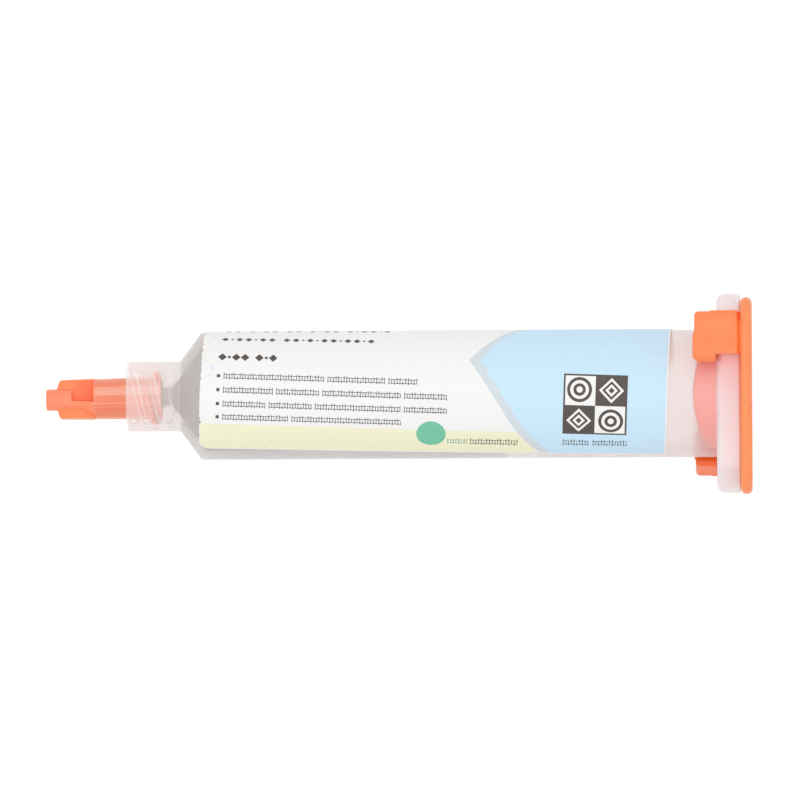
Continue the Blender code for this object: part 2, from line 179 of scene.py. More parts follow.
SOCKET_GAP = 0.35 * mm
CAP_TILT = 0.9 * degree
CAP_SAG = 0.17 * mm
SOCKET_SPARE = 0.6 * mm
LUG_CREST_R = COLLAR_BORE_R - 0.15 * mm
LUG_MIDDLE = CAP_RIM + 0.6 * mm
LUG_HALF_CREST = 0.3 * mm
LUG_FLANK = 0.2 * mm
LUG_ROW = 0.08 * mm
LUG_START = -104 * degree
LUG_SWEEP = 115 * degree
LUG_FADE = 6 * degree

# End cap
SEAT_GAP = 0.1 * mm
PLATE_GAP = 0.03 * mm
PLATE_CORNER = 4.0 * mm
PLATE_EDGE_ROUND = 0.75 * mm
PLUG_R = BORE_R - 0.2 * mm
PLUG_LENGTH = 6.9 * mm
PLUG_FRONT_R = 15.4 * mm
PLUG_EDGE = 0.4 * mm
PLUG_COLUMNS = 128
CLIP_GAP = 0.25 * mm
CLIP_WALL = 1.45 * mm
CLIP_FLAT = FLANGE_FLAT + CLIP_GAP
CLIP_OUTER_FLAT = CLIP_FLAT + CLIP_WALL
CLIP_INNER_R = FLANGE_R + CLIP_GAP
CLIP_OUTER_R = CLIP_INNER_R + CLIP_WALL
CLIP_RUN = 4.28 * mm
NEAR_PAST_CORNER = 5.4 * degree
FAR_PAST_CORNER = 2.2 * degree
HOOK_BACK = FLANGE_THICKNESS + SEAT_GAP
HOOK_TAIL = 1.2 * mm
HOOK_REACH = 4.5 * mm
HOOK_PAD = 0.25 * mm
HOOK_ROUND = 0.63 * mm
HOOK_CORNER = 0.71 * mm
TAIL_CORNER = 1.25 * mm
TAIL_ROUND = 1.2 * mm
PAD_ROOT = 0.9 * mm
PAD_RAISE = 0.1 * mm
PAD_TOP = 9.96 * mm
PAD_DROP = 0.73 * mm
PAD_DROP_LENGTH = 1.6 * mm
GROOVE_DEPTH = 0.4 * mm
GROOVE_WIDTH = 0.65 * mm
END_CAP_SAG = 0.36 * mm
UNLOCK_ANGLE = math.acos(FLANGE_FLAT / FLANGE_R) - 6.9 * degree
WALL_LOW = math.sqrt(CLIP_INNER_R**2 - CLIP_FLAT**2) - CLIP_RUN
HOOK_LOW = WALL_LOW - HOOK_TAIL

# Label
LABEL_INNER_R = BARREL_R + 0.05 * mm
LABEL_THICKNESS = 0.12 * mm
LABEL_HEIGHT = 36 * mm
LABEL_CORNER = 1.6 * mm
LABEL_SKEW = 2.2 * degree
LABEL_ANGLE = 49 * degree
LABEL_FROM_FLANGE = 6.84 * mm
LABEL_SHORT_OF_SHOULDER = 0.51 * mm
LABEL_FRONT = BARREL_LENGTH - LABEL_SHORT_OF_SHOULDER
LABEL_LENGTH = LABEL_FRONT - FLANGE_THICKNESS - LABEL_FROM_FLANGE
LABEL_FACET = 3 * degree
LABEL_FRAY = 0.4 * mm

# The label's print: lengths along and across the page
PAGE_BORDER = 0.18 * mm
BAND_CORNER = (49 * mm, 4.7 * mm)
HATCH_LINE = 0.11 * mm
HATCH_RUNG = 0.4 * mm
HATCH_RAILS = (0.2, 0.75)
HATCH_SPANS = ((0, 1), (0.2, 0.75), (0, 0.75), (0.2, 1), (0, 1), (0, 0.5), (0.2, 1))
MARK_WIDTHS = {"#": 1.0, ".": 0.55, " ": 0.6}
MARK_RADII = {"#": 0.33, ".": 0.15}
SPECK_R = 0.075 * mm
BULLET_X = 2.65 * mm
BULLET_HALF = 0.24 * mm
BULLETED_LEFT = 3.4 * mm
BULLETED_HEIGHT = 1.0 * mm
DISC_CENTRE = (33.8 * mm, 3.95 * mm)
DISC_R = 2.15 * mm
TILES_LOW = (52.9 * mm, 4.65 * mm)
TILES_HIGH = (62.2 * mm, 13.75 * mm)
TILES_LINE = 0.26 * mm

# Places on the page in millimetres: the chevron's corners, dirt and lines of print
CHEVRON_OUTER = [(49.8, 0.18), (48.2, 2.2), (46.1, 4.9), (43.7, 8.7), (39.0, 15.45)]
CHEVRON_OUTER += [(40.7, 17.6), (42.7, 20.0), (44.8, 22.7), (46.6, 24.9), (49.0, 27.9)]
CHEVRON_INNER = [(51.4, 0.18), (47.6, 4.9), (44.7, 9.2), (40.65, 15.4), (42.3, 18.0)]
CHEVRON_INNER += [(44.3, 20.7), (45.9, 22.8), (47.8, 25.2), (50.2, 28.2)]
SMEARS = [(1.5, 19.4, 0.45), (1.2, 18.2, 0.3), (1.9, 16.6, 0.25), (1.3, 15.2, 0.3)]
SMEARS += [(1.7, 13.2, 0.4), (1.4, 11.9, 0.25), (2.1, 18.9, 0.2)]
SPECKS = [(0.5, 14.3), (1.7, 12.9), (12.3, 11.1), (18.4, 13.5), (1.6, 0.9), (4.1, 1.6)]
SPECKS += [(6.9, 0.7), (10.6, 2.0), (7.2, 1.1), (9.9, 0.8), (26.2, 15.9), (34.0, 20.3)]
HEADINGS = [
    (2.8, 27.3, 22.5, 1.6, "##.#.## ##.#.## #.##.#", "small_ink"),
    (2.55, 25.2, 18.8, 1.6, "#.##.## ##.#.##.##.#", "ink"),
    (2.4, 11.1, 14.9, 1.95, "#.## #.#", "ink"),
]
BULLETED = [
    (11.8, 31.6, [14, 8, 4]),
    (9.75, 36.0, [7, 6, 11, 6]),
    (7.75, 36.0, [6, 6, 12, 6]),
    (5.8, 29.4, [9, 15]),
]

# Stage
LIGHT_LEVEL = 0.88


def nozzle_r(station):
    """Outer radius of the tapered nozzle."""
    return NOZZLE_TIP_R + NOZZLE_TAPER / 2 * (NOZZLE_TIP - station)


def bore_cone_station(radius, gap=0.0):
    """Where the cone inside the shoulder, drawn in by a gap, has a given radius."""
    wall_along_axis = (BARREL_WALL + gap) / math.sin(SHOULDER_ANGLE)
    return BARREL_LENGTH - wall_along_axis + (BARREL_R - radius) / SHOULDER_SLOPE


def turned_points(station, radius, angle):
    """Points in the row frame from stations, radii and angles round the axis."""
    along = AXIS.x - station
    across = AXIS.y + radius * np.sin(angle)
    up = AXIS.z + radius * np.cos(angle)
    return np.stack(np.broadcast_arrays(along, across, up), axis=-1)


def smooth_step(value):
    value = np.clip(value, 0, 1)
    return value * value * (3 - 2 * value)


def smooth_max(a, b, blend):
    """The larger of two values, with a soft turn where they meet."""
    share = np.clip(0.5 + (a - b) / (2 * blend), 0, 1)
    return b + (a - b) * share + blend * share * (1 - share)


def smooth_min(a, b, blend):
    return -smooth_max(-a, -b, blend)


def quarter(steps):
    """Points of a quarter round of radius 1, as their distances from its two sides."""
    turns = np.linspace(0, math.pi / 2, steps + 1)
    return [(1 - math.cos(turn), 1 - math.sin(turn)) for turn in turns]


def unit_vector(vector):
    return vector / np.linalg.norm(vector)


def filleted(corners, ring=False, steps=6):
    """Points along a line whose (x, y, rounding) corners are turned into arcs."""
    points = []
    count = len(corners)
    for i, (x, y, rounding) in enumerate(corners):
        here = np.array((x, y))
        if rounding == 0 or (not ring and i in (0, count - 1)):
            points.append(here)
            continue
        before = unit_vector(np.array(corners[i - 1][:2]) - here)
        after = unit_vector(np.array(corners[(i + 1) % count][:2]) - here)
        half = math.acos(np.clip(before @ after, -1, 1)) / 2
        centre = here + unit_vector(before + after) * rounding / math.sin(half)
        spoke = here + before * rounding / math.tan(half) - centre
        turn = math.pi - 2 * half
        if before[0] * after[1] - before[1] * after[0] > 0:
            turn = -turn
        for step in range(steps + 1):
            c, s = math.cos(turn * step / steps), math.sin(turn * step / steps)
            points.append(centre + np.array((spoke[0] * c - spoke[1] * s, spoke[0] * s + spoke[1] * c)))
    return [tuple(point) for point in points]


def new_object(name, data):
    obj = bpy.data.objects.new(name, data)
    bpy.context.scene.collection.objects.link(obj)
    return obj


def skin(name, rings, looped=False):
    """A closed mesh through rings of points; a ring of one point is a pole.

    Without poles the ends are capped, unless the rings themselves form a loop.
    """
    starts = np.cumsum([0] + [len(ring) for ring in rings])
    faces = []
    pairs = [(i, i + 1) for i in range(len(rings) - 1)]
    if looped:
        pairs.append((len(rings) - 1, 0))
    for a, b in pairs:
        size = max(len(rings[a]), len(rings[b]))
        for j in range(size):
            k = (j + 1) % size
            if len(rings[a]) == 1:
                faces.append((starts[a], starts[b] + j, starts[b] + k))
            elif len(rings[b]) == 1:
                faces.append((starts[a] + j, starts[b], starts[a] + k))
            else:
                faces.append((starts[a] + j, starts[b] + j, starts[b] + k, starts[a] + k))
    if not looped:
        for end in (0, len(rings) - 1):
            if len(rings[end]) > 1:
                faces.append([starts[end] + j for j in range(len(rings[end]))])
    mesh = bpy.data.meshes.new(name)
    mesh.from_pydata(np.concatenate(rings).tolist(), [], [list(map(int, f)) for f in faces])
    tidy_mesh(mesh)
    return new_object(name, mesh)


def tidy_mesh(mesh):
    """Joins points that fall together and turns the faces outward."""
    shape = bmesh.new()
    shape.from_mesh(mesh)
    bmesh.ops.remove_doubles(shape, verts=shape.verts, dist=1e-7)
    bmesh.ops.dissolve_degenerate(shape, edges=shape.edges, dist=1e-7)
    bmesh.ops.recalc_face_normals(shape, faces=shape.faces)
    shape.to_mesh(mesh)
    shape.free()


def lathe(name, rows, columns, looped=False):
    """A turned mesh from rows of (station, radius), each a number or one value to a column."""
    angles = np.arange(columns) * TURN / columns
    rings = []
    for station, radius in rows:
        if np.ndim(radius) == 0 and radius == 0:
            rings.append(turned_points(station, 0.0, np.zeros(1)))
        else:
            rings.append(turned_points(station, radius, angles))
    return skin(name, rings, looped)


def column_angles(columns):
    """The angles of a lathe's columns, from -pi to pi."""
    angles = np.arange(columns) * TURN / columns
    return (angles + math.pi) % TURN - math.pi


def set_fields(obj, field_of):
    """Gives each face the material that a function of station, radius and angle numbers."""
    middles = np.empty(3 * len(obj.data.polygons))
    obj.data.polygons.foreach_get("center", middles)
    along, across, up = (middles.reshape(-1, 3) - np.array(AXIS)).T
    fields = field_of(-along, np.hypot(across, up), np.arctan2(across, up))
    obj.data.polygons.foreach_set("material_index", fields.astype(np.int32))
    return obj


def apply_modifiers(obj):
    graph = bpy.context.evaluated_depsgraph_get()
    bpy.context.view_layer.update()
    mesh = bpy.data.meshes.new_from_object(obj.evaluated_get(graph))
    obj.modifiers.clear()
    obj.data = mesh
    return obj


def smooth(obj):
    """Smooth shading with crisp creases, and flat faces kept flat beside rounded edges."""
    obj.data.shade_smooth()
    obj.data.set_sharp_from_angle(angle=CREASE)
    weighted = obj.modifiers.new("weighted_normals", "WEIGHTED_NORMAL")
    weighted.keep_sharp = True
    return obj


def union(obj, *others):
    """Joins closed meshes into one, and removes the others."""
    for other in others:
        modifier = obj.modifiers.new("join", "BOOLEAN")
        modifier.operation = "UNION"
        modifier.solver = "EXACT"
        modifier.object = other
        apply_modifiers(obj)
        bpy.data.objects.remove(other)
    return obj


# Barrel
def thread_height(station, angles):
    """Height of the right-hand, two-start thread above the collar's bore."""
    place = station - THREAD_PHASE - THREAD_LEAD * angles / TURN
    from_ridge = np.abs((place + THREAD_PITCH / 2) % THREAD_PITCH - THREAD_PITCH / 2)
    return THREAD_DEPTH * smooth_step((THREAD_CREST + THREAD_FLANK - from_ridge) / THREAD_FLANK)


def collar_bore_rows():
    """The threaded inside of the collar, from its floor out to its front."""
    angles = column_angles(BARREL_COLUMNS)
    first = COLLAR_FLOOR + BORE_RUN_IN
    last = COLLAR_FRONT - BORE_RUN_OUT
    count = round((last - first) / THREAD_ROW)
    rows = []
    for i in range(1, count):
        station = first + (last - first) * i / count
        share = smooth_step((station - first) / THREAD_FADE) * smooth_step((last - station) / THREAD_FADE)
        rows.append((station, COLLAR_BORE_R - share * thread_height(station, angles)))
    return rows


def flange_rows():
    """From the barrel out over the flange's front, round its rim and in over its back."""
    angles = column_angles(BARREL_COLUMNS)
    flat = FLANGE_FLAT / np.maximum(np.abs(np.cos(angles)), 0.05)
    outline = smooth_min(flat, np.full(BARREL_COLUMNS, FLANGE_R), FLANGE_BLEND)
    rounding = np.minimum(FLANGE_ROUND, 0.75 * (outline - BARREL_R))
    steps = quarter(6)
    rows = [(FLANGE_THICKNESS + FLANGE_NECK * fall, BARREL_R + FLANGE_NECK * rise) for rise, fall in steps]
    rows += [(FLANGE_THICKNESS - rounding * rise, outline - rounding * fall) for rise, fall in steps]
    rows += [(FLANGE_BACK_ROUND * fall, outline - FLANGE_BACK_ROUND * rise) for rise, fall in steps]
    return rows


def make_barrel():
    """One translucent moulding: flange, barrel, shoulder, threaded collar and nozzle."""
    cone_front = bore_cone_station(NOZZLE_BORE_R)
    middle = (cone_front + NOZZLE_TIP) / 2
    nose = [
        (middle, NOZZLE_BORE_R, 0),
        (NOZZLE_TIP, NOZZLE_BORE_R, 0.15 * mm),
        (NOZZLE_TIP, NOZZLE_TIP_R, 0.2 * mm),
        (COLLAR_FLOOR, nozzle_r(COLLAR_FLOOR), 0.25 * mm),
        (COLLAR_FLOOR, COLLAR_BORE_R, 0.25 * mm),
        (COLLAR_FLOOR + BORE_RUN_IN, COLLAR_BORE_R, 0),
    ]
    outside = [
        (COLLAR_FRONT - BORE_RUN_OUT, COLLAR_BORE_R, 0),
        (COLLAR_FRONT, COLLAR_BORE_R, 0.3 * mm),
        (COLLAR_FRONT, COLLAR_R, 0.45 * mm),
        (SHOULDER_END, COLLAR_R, 0.8 * mm),
        (BARREL_LENGTH, BARREL_R, 0.7 * mm),
        (FLANGE_THICKNESS + 1.0 * mm, BARREL_R, 0),
    ]
    inside = [
        (0, BORE_R + MOUTH_CHAMFER + MOUTH_STEP, 0),
        (0, BORE_R + MOUTH_CHAMFER, 0.1 * mm),
        (MOUTH_CHAMFER, BORE_R, 0.2 * mm),
        (bore_cone_station(BORE_R), BORE_R, 0.8 * mm),
        (cone_front, NOZZLE_BORE_R, 0.5 * mm),
        (middle - 1 * mm, NOZZLE_BORE_R, 0),
    ]
    rows = filleted(nose) + collar_bore_rows() + filleted(outside) + flange_rows() + filleted(inside)
    return set_fields(lathe("barrel_body", rows, BARREL_COLUMNS, looped=True), barrel_fields)


def barrel_fields(station, radius, angle):
    """Barrel wall (0), thick flange with a painted pink glow (1), flanks of the thread painted white as a
    highlight (2), collar (3), inner surfaces (4).
    """
    flange = (station < FLANGE_THICKNESS + 0.1 * mm) & (radius > BARREL_R + 0.03 * mm)
    rise = thread_height(station, angle) / THREAD_DEPTH
    threaded = (station > COLLAR_FLOOR + 0.5 * mm) & (station < COLLAR_FRONT - 0.6 * mm)
    in_bore = threaded & (radius < COLLAR_BORE_R - 0.02 * mm) & (radius > COLLAR_BORE_R - THREAD_DEPTH)
    # Painted highlight: the flanks get an opaque white.
    flank = in_bore & (rise > 0.1) & (rise < 0.9)
    outer = np.clip(BARREL_R - (station - BARREL_LENGTH) * SHOULDER_SLOPE, COLLAR_R, BARREL_R)
    inner = radius < outer - 0.5 * mm
    return np.select([flange, flank, inner, station > SHOULDER_END - 0.2 * mm], [1, 2, 4, 3], 0)


# Piston and paste
def make_piston():
    """A hollow wiper with a lip at each end and a cone nose."""
    waist_r = PISTON_LIP_R - PISTON_WAIST
    inner_r = waist_r - PISTON_WALL
    inner_front = PISTON_FRONT - PISTON_WALL / math.sin(SHOULDER_ANGLE)
    profile = [
        (PISTON_NOSE, 0, 0),
        (PISTON_NOSE, PISTON_TIP_R, 0.4 * mm),
        (PISTON_FRONT, PISTON_LIP_R, PISTON_EDGE),
        (PISTON_FRONT - PISTON_LIP, PISTON_LIP_R, PISTON_EDGE),
        (PISTON_FRONT - PISTON_LIP - PISTON_WAIST, waist_r, PISTON_EDGE),
        (PISTON_BACK + PISTON_LIP + PISTON_WAIST, waist_r, PISTON_EDGE),
        (PISTON_BACK + PISTON_LIP, PISTON_LIP_R, PISTON_EDGE),
        (PISTON_BACK, PISTON_LIP_R, PISTON_EDGE),
        (PISTON_BACK, inner_r, PISTON_EDGE),
        (inner_front, inner_r, 0.5 * mm),
        (inner_front + inner_r / SHOULDER_SLOPE, 0, 0),
    ]
    return lathe("wiper_piston", filleted(profile), SLUG_COLUMNS)


def make_paste():
    """A slug that wets the bore; its rear is hollowed by the piston's nose.

    The cylinder has no rows between its ends, so that only its length changes
    when the piston slides.
    """
    rear = PISTON_FRONT + PASTE_GAP
    hollow = rear + (BORE_R - PISTON_TIP_R) / SHOULDER_SLOPE
    slug_r = BORE_R + WETTED
    core_r = NOZZLE_BORE_R + WETTED
    profile = [
        (PASTE_TIP, 0, 0),
        (PASTE_TIP, core_r, 0.1 * mm),
        (bore_cone_station(NOZZLE_BORE_R), core_r, 0.5 * mm),
        (bore_cone_station(BORE_R), slug_r, 0.8 * mm),
        (rear, slug_r, 0),
        (hollow, PISTON_TIP_R, 0.4 * mm),
        (hollow, 0, 0),
    ]
    return lathe("paste_slug", filleted(profile), SLUG_COLUMNS)


# Tip cap
def wing_radius(angles, half_span):
    """Radius of a flat blade through the axis, with softened corners."""
    turn = angles - WING_ANGLE
    end = half_span / np.maximum(np.abs(np.cos(turn)), 0.02)
    side = WING_HALF_THICKNESS / np.maximum(np.abs(np.sin(turn)), 0.02)
    return smooth_min(end, side, WING_EDGE)


def wing_half_span(station):
    """Half width of the wings: a slight draft, and slanted front edges."""
    back = (WING_FRONT - station) / (WING_FRONT - CAP_SHOULDER)
    span = WING_TIP_HALF_SPAN + (GRIP_SHOULDER_R - WING_TIP_HALF_SPAN) * min(1.0, back)
    out = min(1.0, (WING_FRONT - station) / WING_SLANT)
    return WING_ROOT_R + (span - WING_ROOT_R) * math.sin(out * math.pi / 2)


def flare_radius(station):
    """Core radius of the cap ahead of its grip: a hollow flare, then the round stub."""
    share = (STUB_BACK - station) / (STUB_BACK - CAP_SHOULDER)
    return STUB_R + (FLARE_R - STUB_R) * max(0.0, min(1.0, share)) ** FLARE_HOLLOW


def in_pocket(angles):
    """Where the flare is cut away down to the wings, on opposite quarters."""
    return (angles - POCKET_START) % math.pi < WING_ANGLE - POCKET_START


def grip_radius(station, angles):
    """Radius of the ribbed grip with its slight draft."""
    share = (station - CAP_RIM) / (CAP_SHOULDER - CAP_RIM)
    rib_r = GRIP_RIM_R + (GRIP_SHOULDER_R - GRIP_RIM_R) * share
    place = np.abs((angles - RIB_PHASE + RIB_PITCH / 2) % RIB_PITCH - RIB_PITCH / 2)
    rib = smooth_step((RIB_HALF_ARC - place) / RIB_FLANK + 0.5)
    return rib_r - RIB_HEIGHT * (1 - rib)


def lug_radius(station, angles):
    """Radius of the two thread lugs, or zero away from them."""
    root = GRIP_SHOULDER_R - RIB_HEIGHT
    radius = np.zeros(len(angles))
    for start in (LUG_START, LUG_START + math.pi):
        along = (angles - start) % TURN
        middle = LUG_MIDDLE + THREAD_LEAD * along / TURN
        side = smooth_step((LUG_HALF_CREST + LUG_FLANK - np.abs(station - middle)) / LUG_FLANK)
        ends = smooth_step(along / LUG_FADE) * smooth_step((LUG_SWEEP - along) / LUG_FADE)
        radius = np.maximum(radius, root + (LUG_CREST_R - root) * side * ends)
    return radius


def tip_cap_fields(station, radius, angle):
    """Wings (0), grip (1), hollows with painted shade (2), stripes with mould marks and a painted
    highlight (3), the grip's edges with a painted highlight (4), stub and flare (5).
    """
    on_grip = (station < CAP_SHOULDER - 0.02 * mm) & (radius > GRIP_SHOULDER_R - 2 * RIB_HEIGHT)
    from_mark = (angle - RIB_PHASE) % (2 * RIB_PITCH)
    # Painted highlight: every other panel of the grip is paler, as if lit.
    marked_lit = (from_mark > LIT_STRIPE_START) & (from_mark < RIB_PITCH - RIB_HALF_ARC)
    from_rib = from_mark % RIB_PITCH
    beside_rib = np.minimum(from_rib, RIB_PITCH - from_rib)
    # Painted highlight: pale lines along the ribs' sides and the grip's front rim.
    edge = np.abs(beside_rib - RIB_HALF_ARC) < HIGHLIGHT_HALF_ARC
    edge |= station > CAP_SHOULDER - HIGHLIGHT_LENGTH
    beside = (station > CAP_SHOULDER - 0.02 * mm) & (station < STUB_BACK + 0.02 * mm)
    hollow = beside & in_pocket(angle) & (radius < WING_TIP_HALF_SPAN - 0.05 * mm)
    off_blade = radius * np.abs(np.sin(angle - WING_ANGLE)) > WING_HALF_THICKNESS + 0.05 * mm
    stub = off_blade | (station > WING_FRONT)
    return np.select([on_grip & edge, on_grip & marked_lit, on_grip, hollow, stub], [4, 3, 1, 2, 5], 0)


def blade_row(station, core_r, angles):
    """The wings at a station, grown softly out of a core."""
    blade_r = wing_radius(angles, wing_half_span(station))
    return station, smooth_max(core_r, blade_r, BLADE_BLEND)


def cap_nose_rows(angles):
    """Stub, wings and pocketed flare, from the tip back to the grip's shoulder."""
    stub = [
        (CAP_TIP - 0.12 * mm, 0, 0),
        (CAP_TIP, STUB_R - 0.5 * mm, 0.3 * mm),
        (CAP_TIP, STUB_R, 0.2 * mm),
        (WING_FRONT + 0.1 * mm, STUB_R, 0),
    ]
    rows = filleted(stub)
    slant = [WING_FRONT - WING_SLANT * i / 8 for i in range(9)]
    blades = np.linspace(slant[-1] - 0.2 * mm, STUB_BACK + CAP_STEP, 10)
    rows += [blade_row(station, STUB_R, angles) for station in [*slant, *blades]]
    for station in np.linspace(STUB_BACK - CAP_STEP, CAP_SHOULDER + CAP_STEP, 20):
        core_r = np.where(in_pocket(angles), 0, flare_radius(station))
        rows.append(blade_row(station, core_r, angles))
    return rows


def cap_grip_rows(angles):
    """The ribbed grip with its thread lugs, from the shoulder back to the rim."""
    shoulder = grip_radius(CAP_SHOULDER, angles)
    rim = grip_radius(CAP_RIM, angles)
    front = CAP_SHOULDER - CAP_STEP
    rows = [(front - GRIP_EDGE * rise, shoulder - GRIP_EDGE * fall) for rise, fall in quarter(3)]
    lug_front = LUG_MIDDLE + THREAD_LEAD * LUG_SWEEP / TURN + 1 * mm
    plain = np.linspace(CAP_SHOULDER - 0.3 * mm, lug_front, 12)
    threaded = np.arange(lug_front - LUG_ROW, CAP_RIM + 0.15 * mm, -LUG_ROW)
    for station in [*plain, *threaded]:
        rows.append((station, np.maximum(grip_radius(station, angles), lug_radius(station, angles))))
    rows += [(CAP_RIM + GRIP_EDGE * fall, rim - GRIP_EDGE * rise) for rise, fall in quarter(3)]
    return rows


def make_tip_cap():
    """One moulding: stub, wings, pocketed flare, ribbed grip, thread lugs and socket."""
    angles = column_angles(CAP_COLUMNS)
    bottom = NOZZLE_TIP + SOCKET_SPARE
    socket = [
        (CAP_RIM, nozzle_r(CAP_RIM) + SOCKET_GAP + 0.4 * mm, 0),
        (CAP_RIM, nozzle_r(CAP_RIM) + SOCKET_GAP, 0.15 * mm),
        (bottom, nozzle_r(bottom) + SOCKET_GAP, 0.3 * mm),
        (bottom, 0, 0),
    ]
    rows = cap_nose_rows(angles) + cap_grip_rows(angles) + filleted(socket)
    cap = set_fields(lathe("tip_cap_body", rows, CAP_COLUMNS), tip_cap_fields)
    rim = Vector((AXIS.x - CAP_RIM, AXIS.y, AXIS.z))
    sag = Matrix.Translation(rim - Vector((0, CAP_SAG, 0)))
    cap.data.transform(sag @ Matrix.Rotation(CAP_TILT, 4, "Z") @ Matrix.Translation(-rim))
    return cap


# End cap
def in_turning_frame(obj):
    """Lays a mesh drawn upright, with Z along the stations, along the turning axis."""
    upright = Matrix(((0, 0, -1, 0), (0, 1, 0, 0), (1, 0, 0, 0), (0, 0, 0, 1)))
    obj.data.transform(Matrix.Translation(AXIS) @ upright)
    return obj


def arc(radius, first, last, steps, centre=(0.0, 0.0)):
    angles = np.linspace(first, last, steps + 1)
    return [(centre[0] + radius * math.cos(a), centre[1] + radius * math.sin(a)) for a in angles]


def outward_normals(outline):
    """Unit normals of a closed outline that runs anticlockwise."""
    points = np.array(outline)
    along = np.roll(points, -1, axis=0) - np.roll(points, 1, axis=0)
    normals = np.stack([along[:, 1], -along[:, 0]], axis=1)
    return normals / np.linalg.norm(normals, axis=1)[:, None]


def loft(name, levels):
    """An upright solid through (height, outline, inset) levels; an inset may vary round its outline."""
    rings = []
    for height, outline, inset in levels:
        count = len(outline)
        flat = np.array(outline) - outward_normals(outline) * np.broadcast_to(inset, count)[:, None]
        rings.append(np.column_stack([flat, np.broadcast_to(height, count)]))
    return skin(name, rings)


def prism(name, outline, low, high, low_round, high_round):
    """An upright solid over an outline, with rounded rims; roundings may vary round it."""
    levels = [(low + low_round * rise, outline, low_round * fall) for rise, fall in quarter(6)]
    levels += [(high - high_round * fall, outline, high_round * rise) for rise, fall in quarter(6)]
    return loft(name, levels)


def clip_corners(past_corner):
    """Angles of the clip's inner and outer corners and of the end of its arc."""
    inner = math.acos(CLIP_FLAT / CLIP_INNER_R)
    outer = math.acos(CLIP_OUTER_FLAT / CLIP_OUTER_R)
    return inner, outer, inner + past_corner


def free_edge():
    """The low and high ends of the hook's slanted inner edge."""
    toward = (math.cos(UNLOCK_ANGLE), math.sin(UNLOCK_ANGLE))
    low = ((CLIP_FLAT - HOOK_LOW * toward[1]) / toward[0], HOOK_LOW)
    high = (
        CLIP_FLAT * toward[0] - HOOK_REACH * toward[1],
        CLIP_FLAT * toward[1] + HOOK_REACH * toward[0],
    )
    return low, high


def hook_outline(past_corner):
    """The hook seen along the axis: a flat, a bevelled corner and the slanted free edge."""
    _, outer, end = clip_corners(past_corner)
    low, high = free_edge()
    corners = [(*low, TAIL_CORNER), (CLIP_OUTER_FLAT, HOOK_LOW, TAIL_CORNER)]
    corners += [(x, y, HOOK_CORNER) for x, y in arc(CLIP_OUTER_R, outer, end, 1)]
    corners.append((*high, HOOK_CORNER))
    return filleted(corners, ring=True)


def pad_outline(outset, top):
    """The hook's raised lower stretch, up to a given height."""
    low, high = free_edge()
    share = (top - low[1]) / (high[1] - low[1])
    outer = CLIP_OUTER_FLAT + outset
    corners = [
        (*low, TAIL_CORNER),
        (outer, HOOK_LOW, TAIL_CORNER),
        (outer, top, HOOK_CORNER),
        (low[0] + (high[0] - low[0]) * share, top, HOOK_CORNER),
    ]
    return filleted(corners, ring=True)


def pad_top(height):
    """Where the pad's upper edge runs: level, then curving down to the front."""
    along = max(0.0, (height - HOOK_FRONT + PAD_DROP_LENGTH) / PAD_DROP_LENGTH)
    return PAD_TOP - PAD_DROP * (1 - math.sqrt(max(0.0, 1 - along * along)))


def pad_outset(height):
    """How far the pad stands proud: nothing near the plate, most at the front."""
    return PAD_RAISE * min(1.0, (height - PAD_ROOT) / (HOOK_FRONT - HOOK_ROUND - PAD_ROOT)) - HIDDEN


def wall_outline(outset, past_corner):
    """The clip's wall seen along the axis, with its outer faces moved by an outset."""
    inner, outer, end = clip_corners(past_corner)
    end -= HIDDEN / CLIP_INNER_R
    bend, edge = arc(CLIP_OUTER_R + outset, outer, end, 1)
    corners = [
        (CLIP_FLAT, WALL_LOW, 0.15 * mm),
        (CLIP_OUTER_FLAT + outset, WALL_LOW, 0.3 * mm),
        (*bend, HOOK_CORNER),
        (*edge, 0),
    ]
    corners += [(x, y, 0) for x, y in arc(CLIP_INNER_R, end, inner, 4)]
    return filleted(corners, ring=True)


def wall_outset(height):
    """The wall's outer face dips into a groove beside the plate."""
    share = smooth_step(height / GROOVE_WIDTH)
    return -GROOVE_DEPTH * (1 - share) - HIDDEN


def make_wall(past_corner):
    """The clip's wall round the flange's corner, and the foot of the pad on it."""
    heights = [-PLATE_GAP - OVERLAP, *np.linspace(0, GROOVE_WIDTH, 8), HOOK_BACK + OVERLAP]
    wall = loft("clip_wall", [(h, wall_outline(wall_outset(h), past_corner), 0) for h in heights])
    levels = []
    for height in np.linspace(PAD_ROOT, HOOK_BACK + OVERLAP, 4):
        outer = CLIP_OUTER_FLAT + pad_outset(height)
        foot = box_shape((CLIP_FLAT + OVERLAP, WALL_LOW + HIDDEN), (outer, PAD_TOP))
        levels.append((height, foot, 0))
    return wall, loft("pad_foot", levels)


def front_rounding(outline):
    """Rounding of a front rim, wider along the tail."""
    down = -outward_normals(outline)[:, 1]
    return HOOK_ROUND + (TAIL_ROUND - HOOK_ROUND) * smooth_step((down - 0.7) / 0.3)


def make_pad():
    """The hook's raised stretch, tapering back into the wall's foot."""
    heights = np.linspace(HOOK_BACK + 0.2 * mm, HOOK_FRONT - TAIL_ROUND - 0.1 * mm, 6)
    levels = [(height, pad_outline(pad_outset(height), pad_top(height)), 0) for height in heights]
    for rise, fall in quarter(8):
        height = HOOK_FRONT - HOOK_ROUND * fall
        outline = pad_outline(pad_outset(height), pad_top(height))
        rounding = front_rounding(outline)
        levels.append((HOOK_FRONT - rounding * fall, outline, rounding * rise))
    return loft("clip_pad", levels)


def make_clip(past_corner):
    """A wall round the flange's corner and a hook with a raised lower pad."""
    outline = hook_outline(past_corner)
    on_wall = (outward_normals(outline)[:, 0] > -0.2) & (np.array(outline)[:, 1] > WALL_LOW)
    under = np.where(on_wall, 0.0, 0.15 * mm)
    hook = prism("clip_hook", outline, HOOK_BACK, HOOK_FRONT - HOOK_PAD, under, front_rounding(outline))
    return union(hook, *make_wall(past_corner), make_pad())


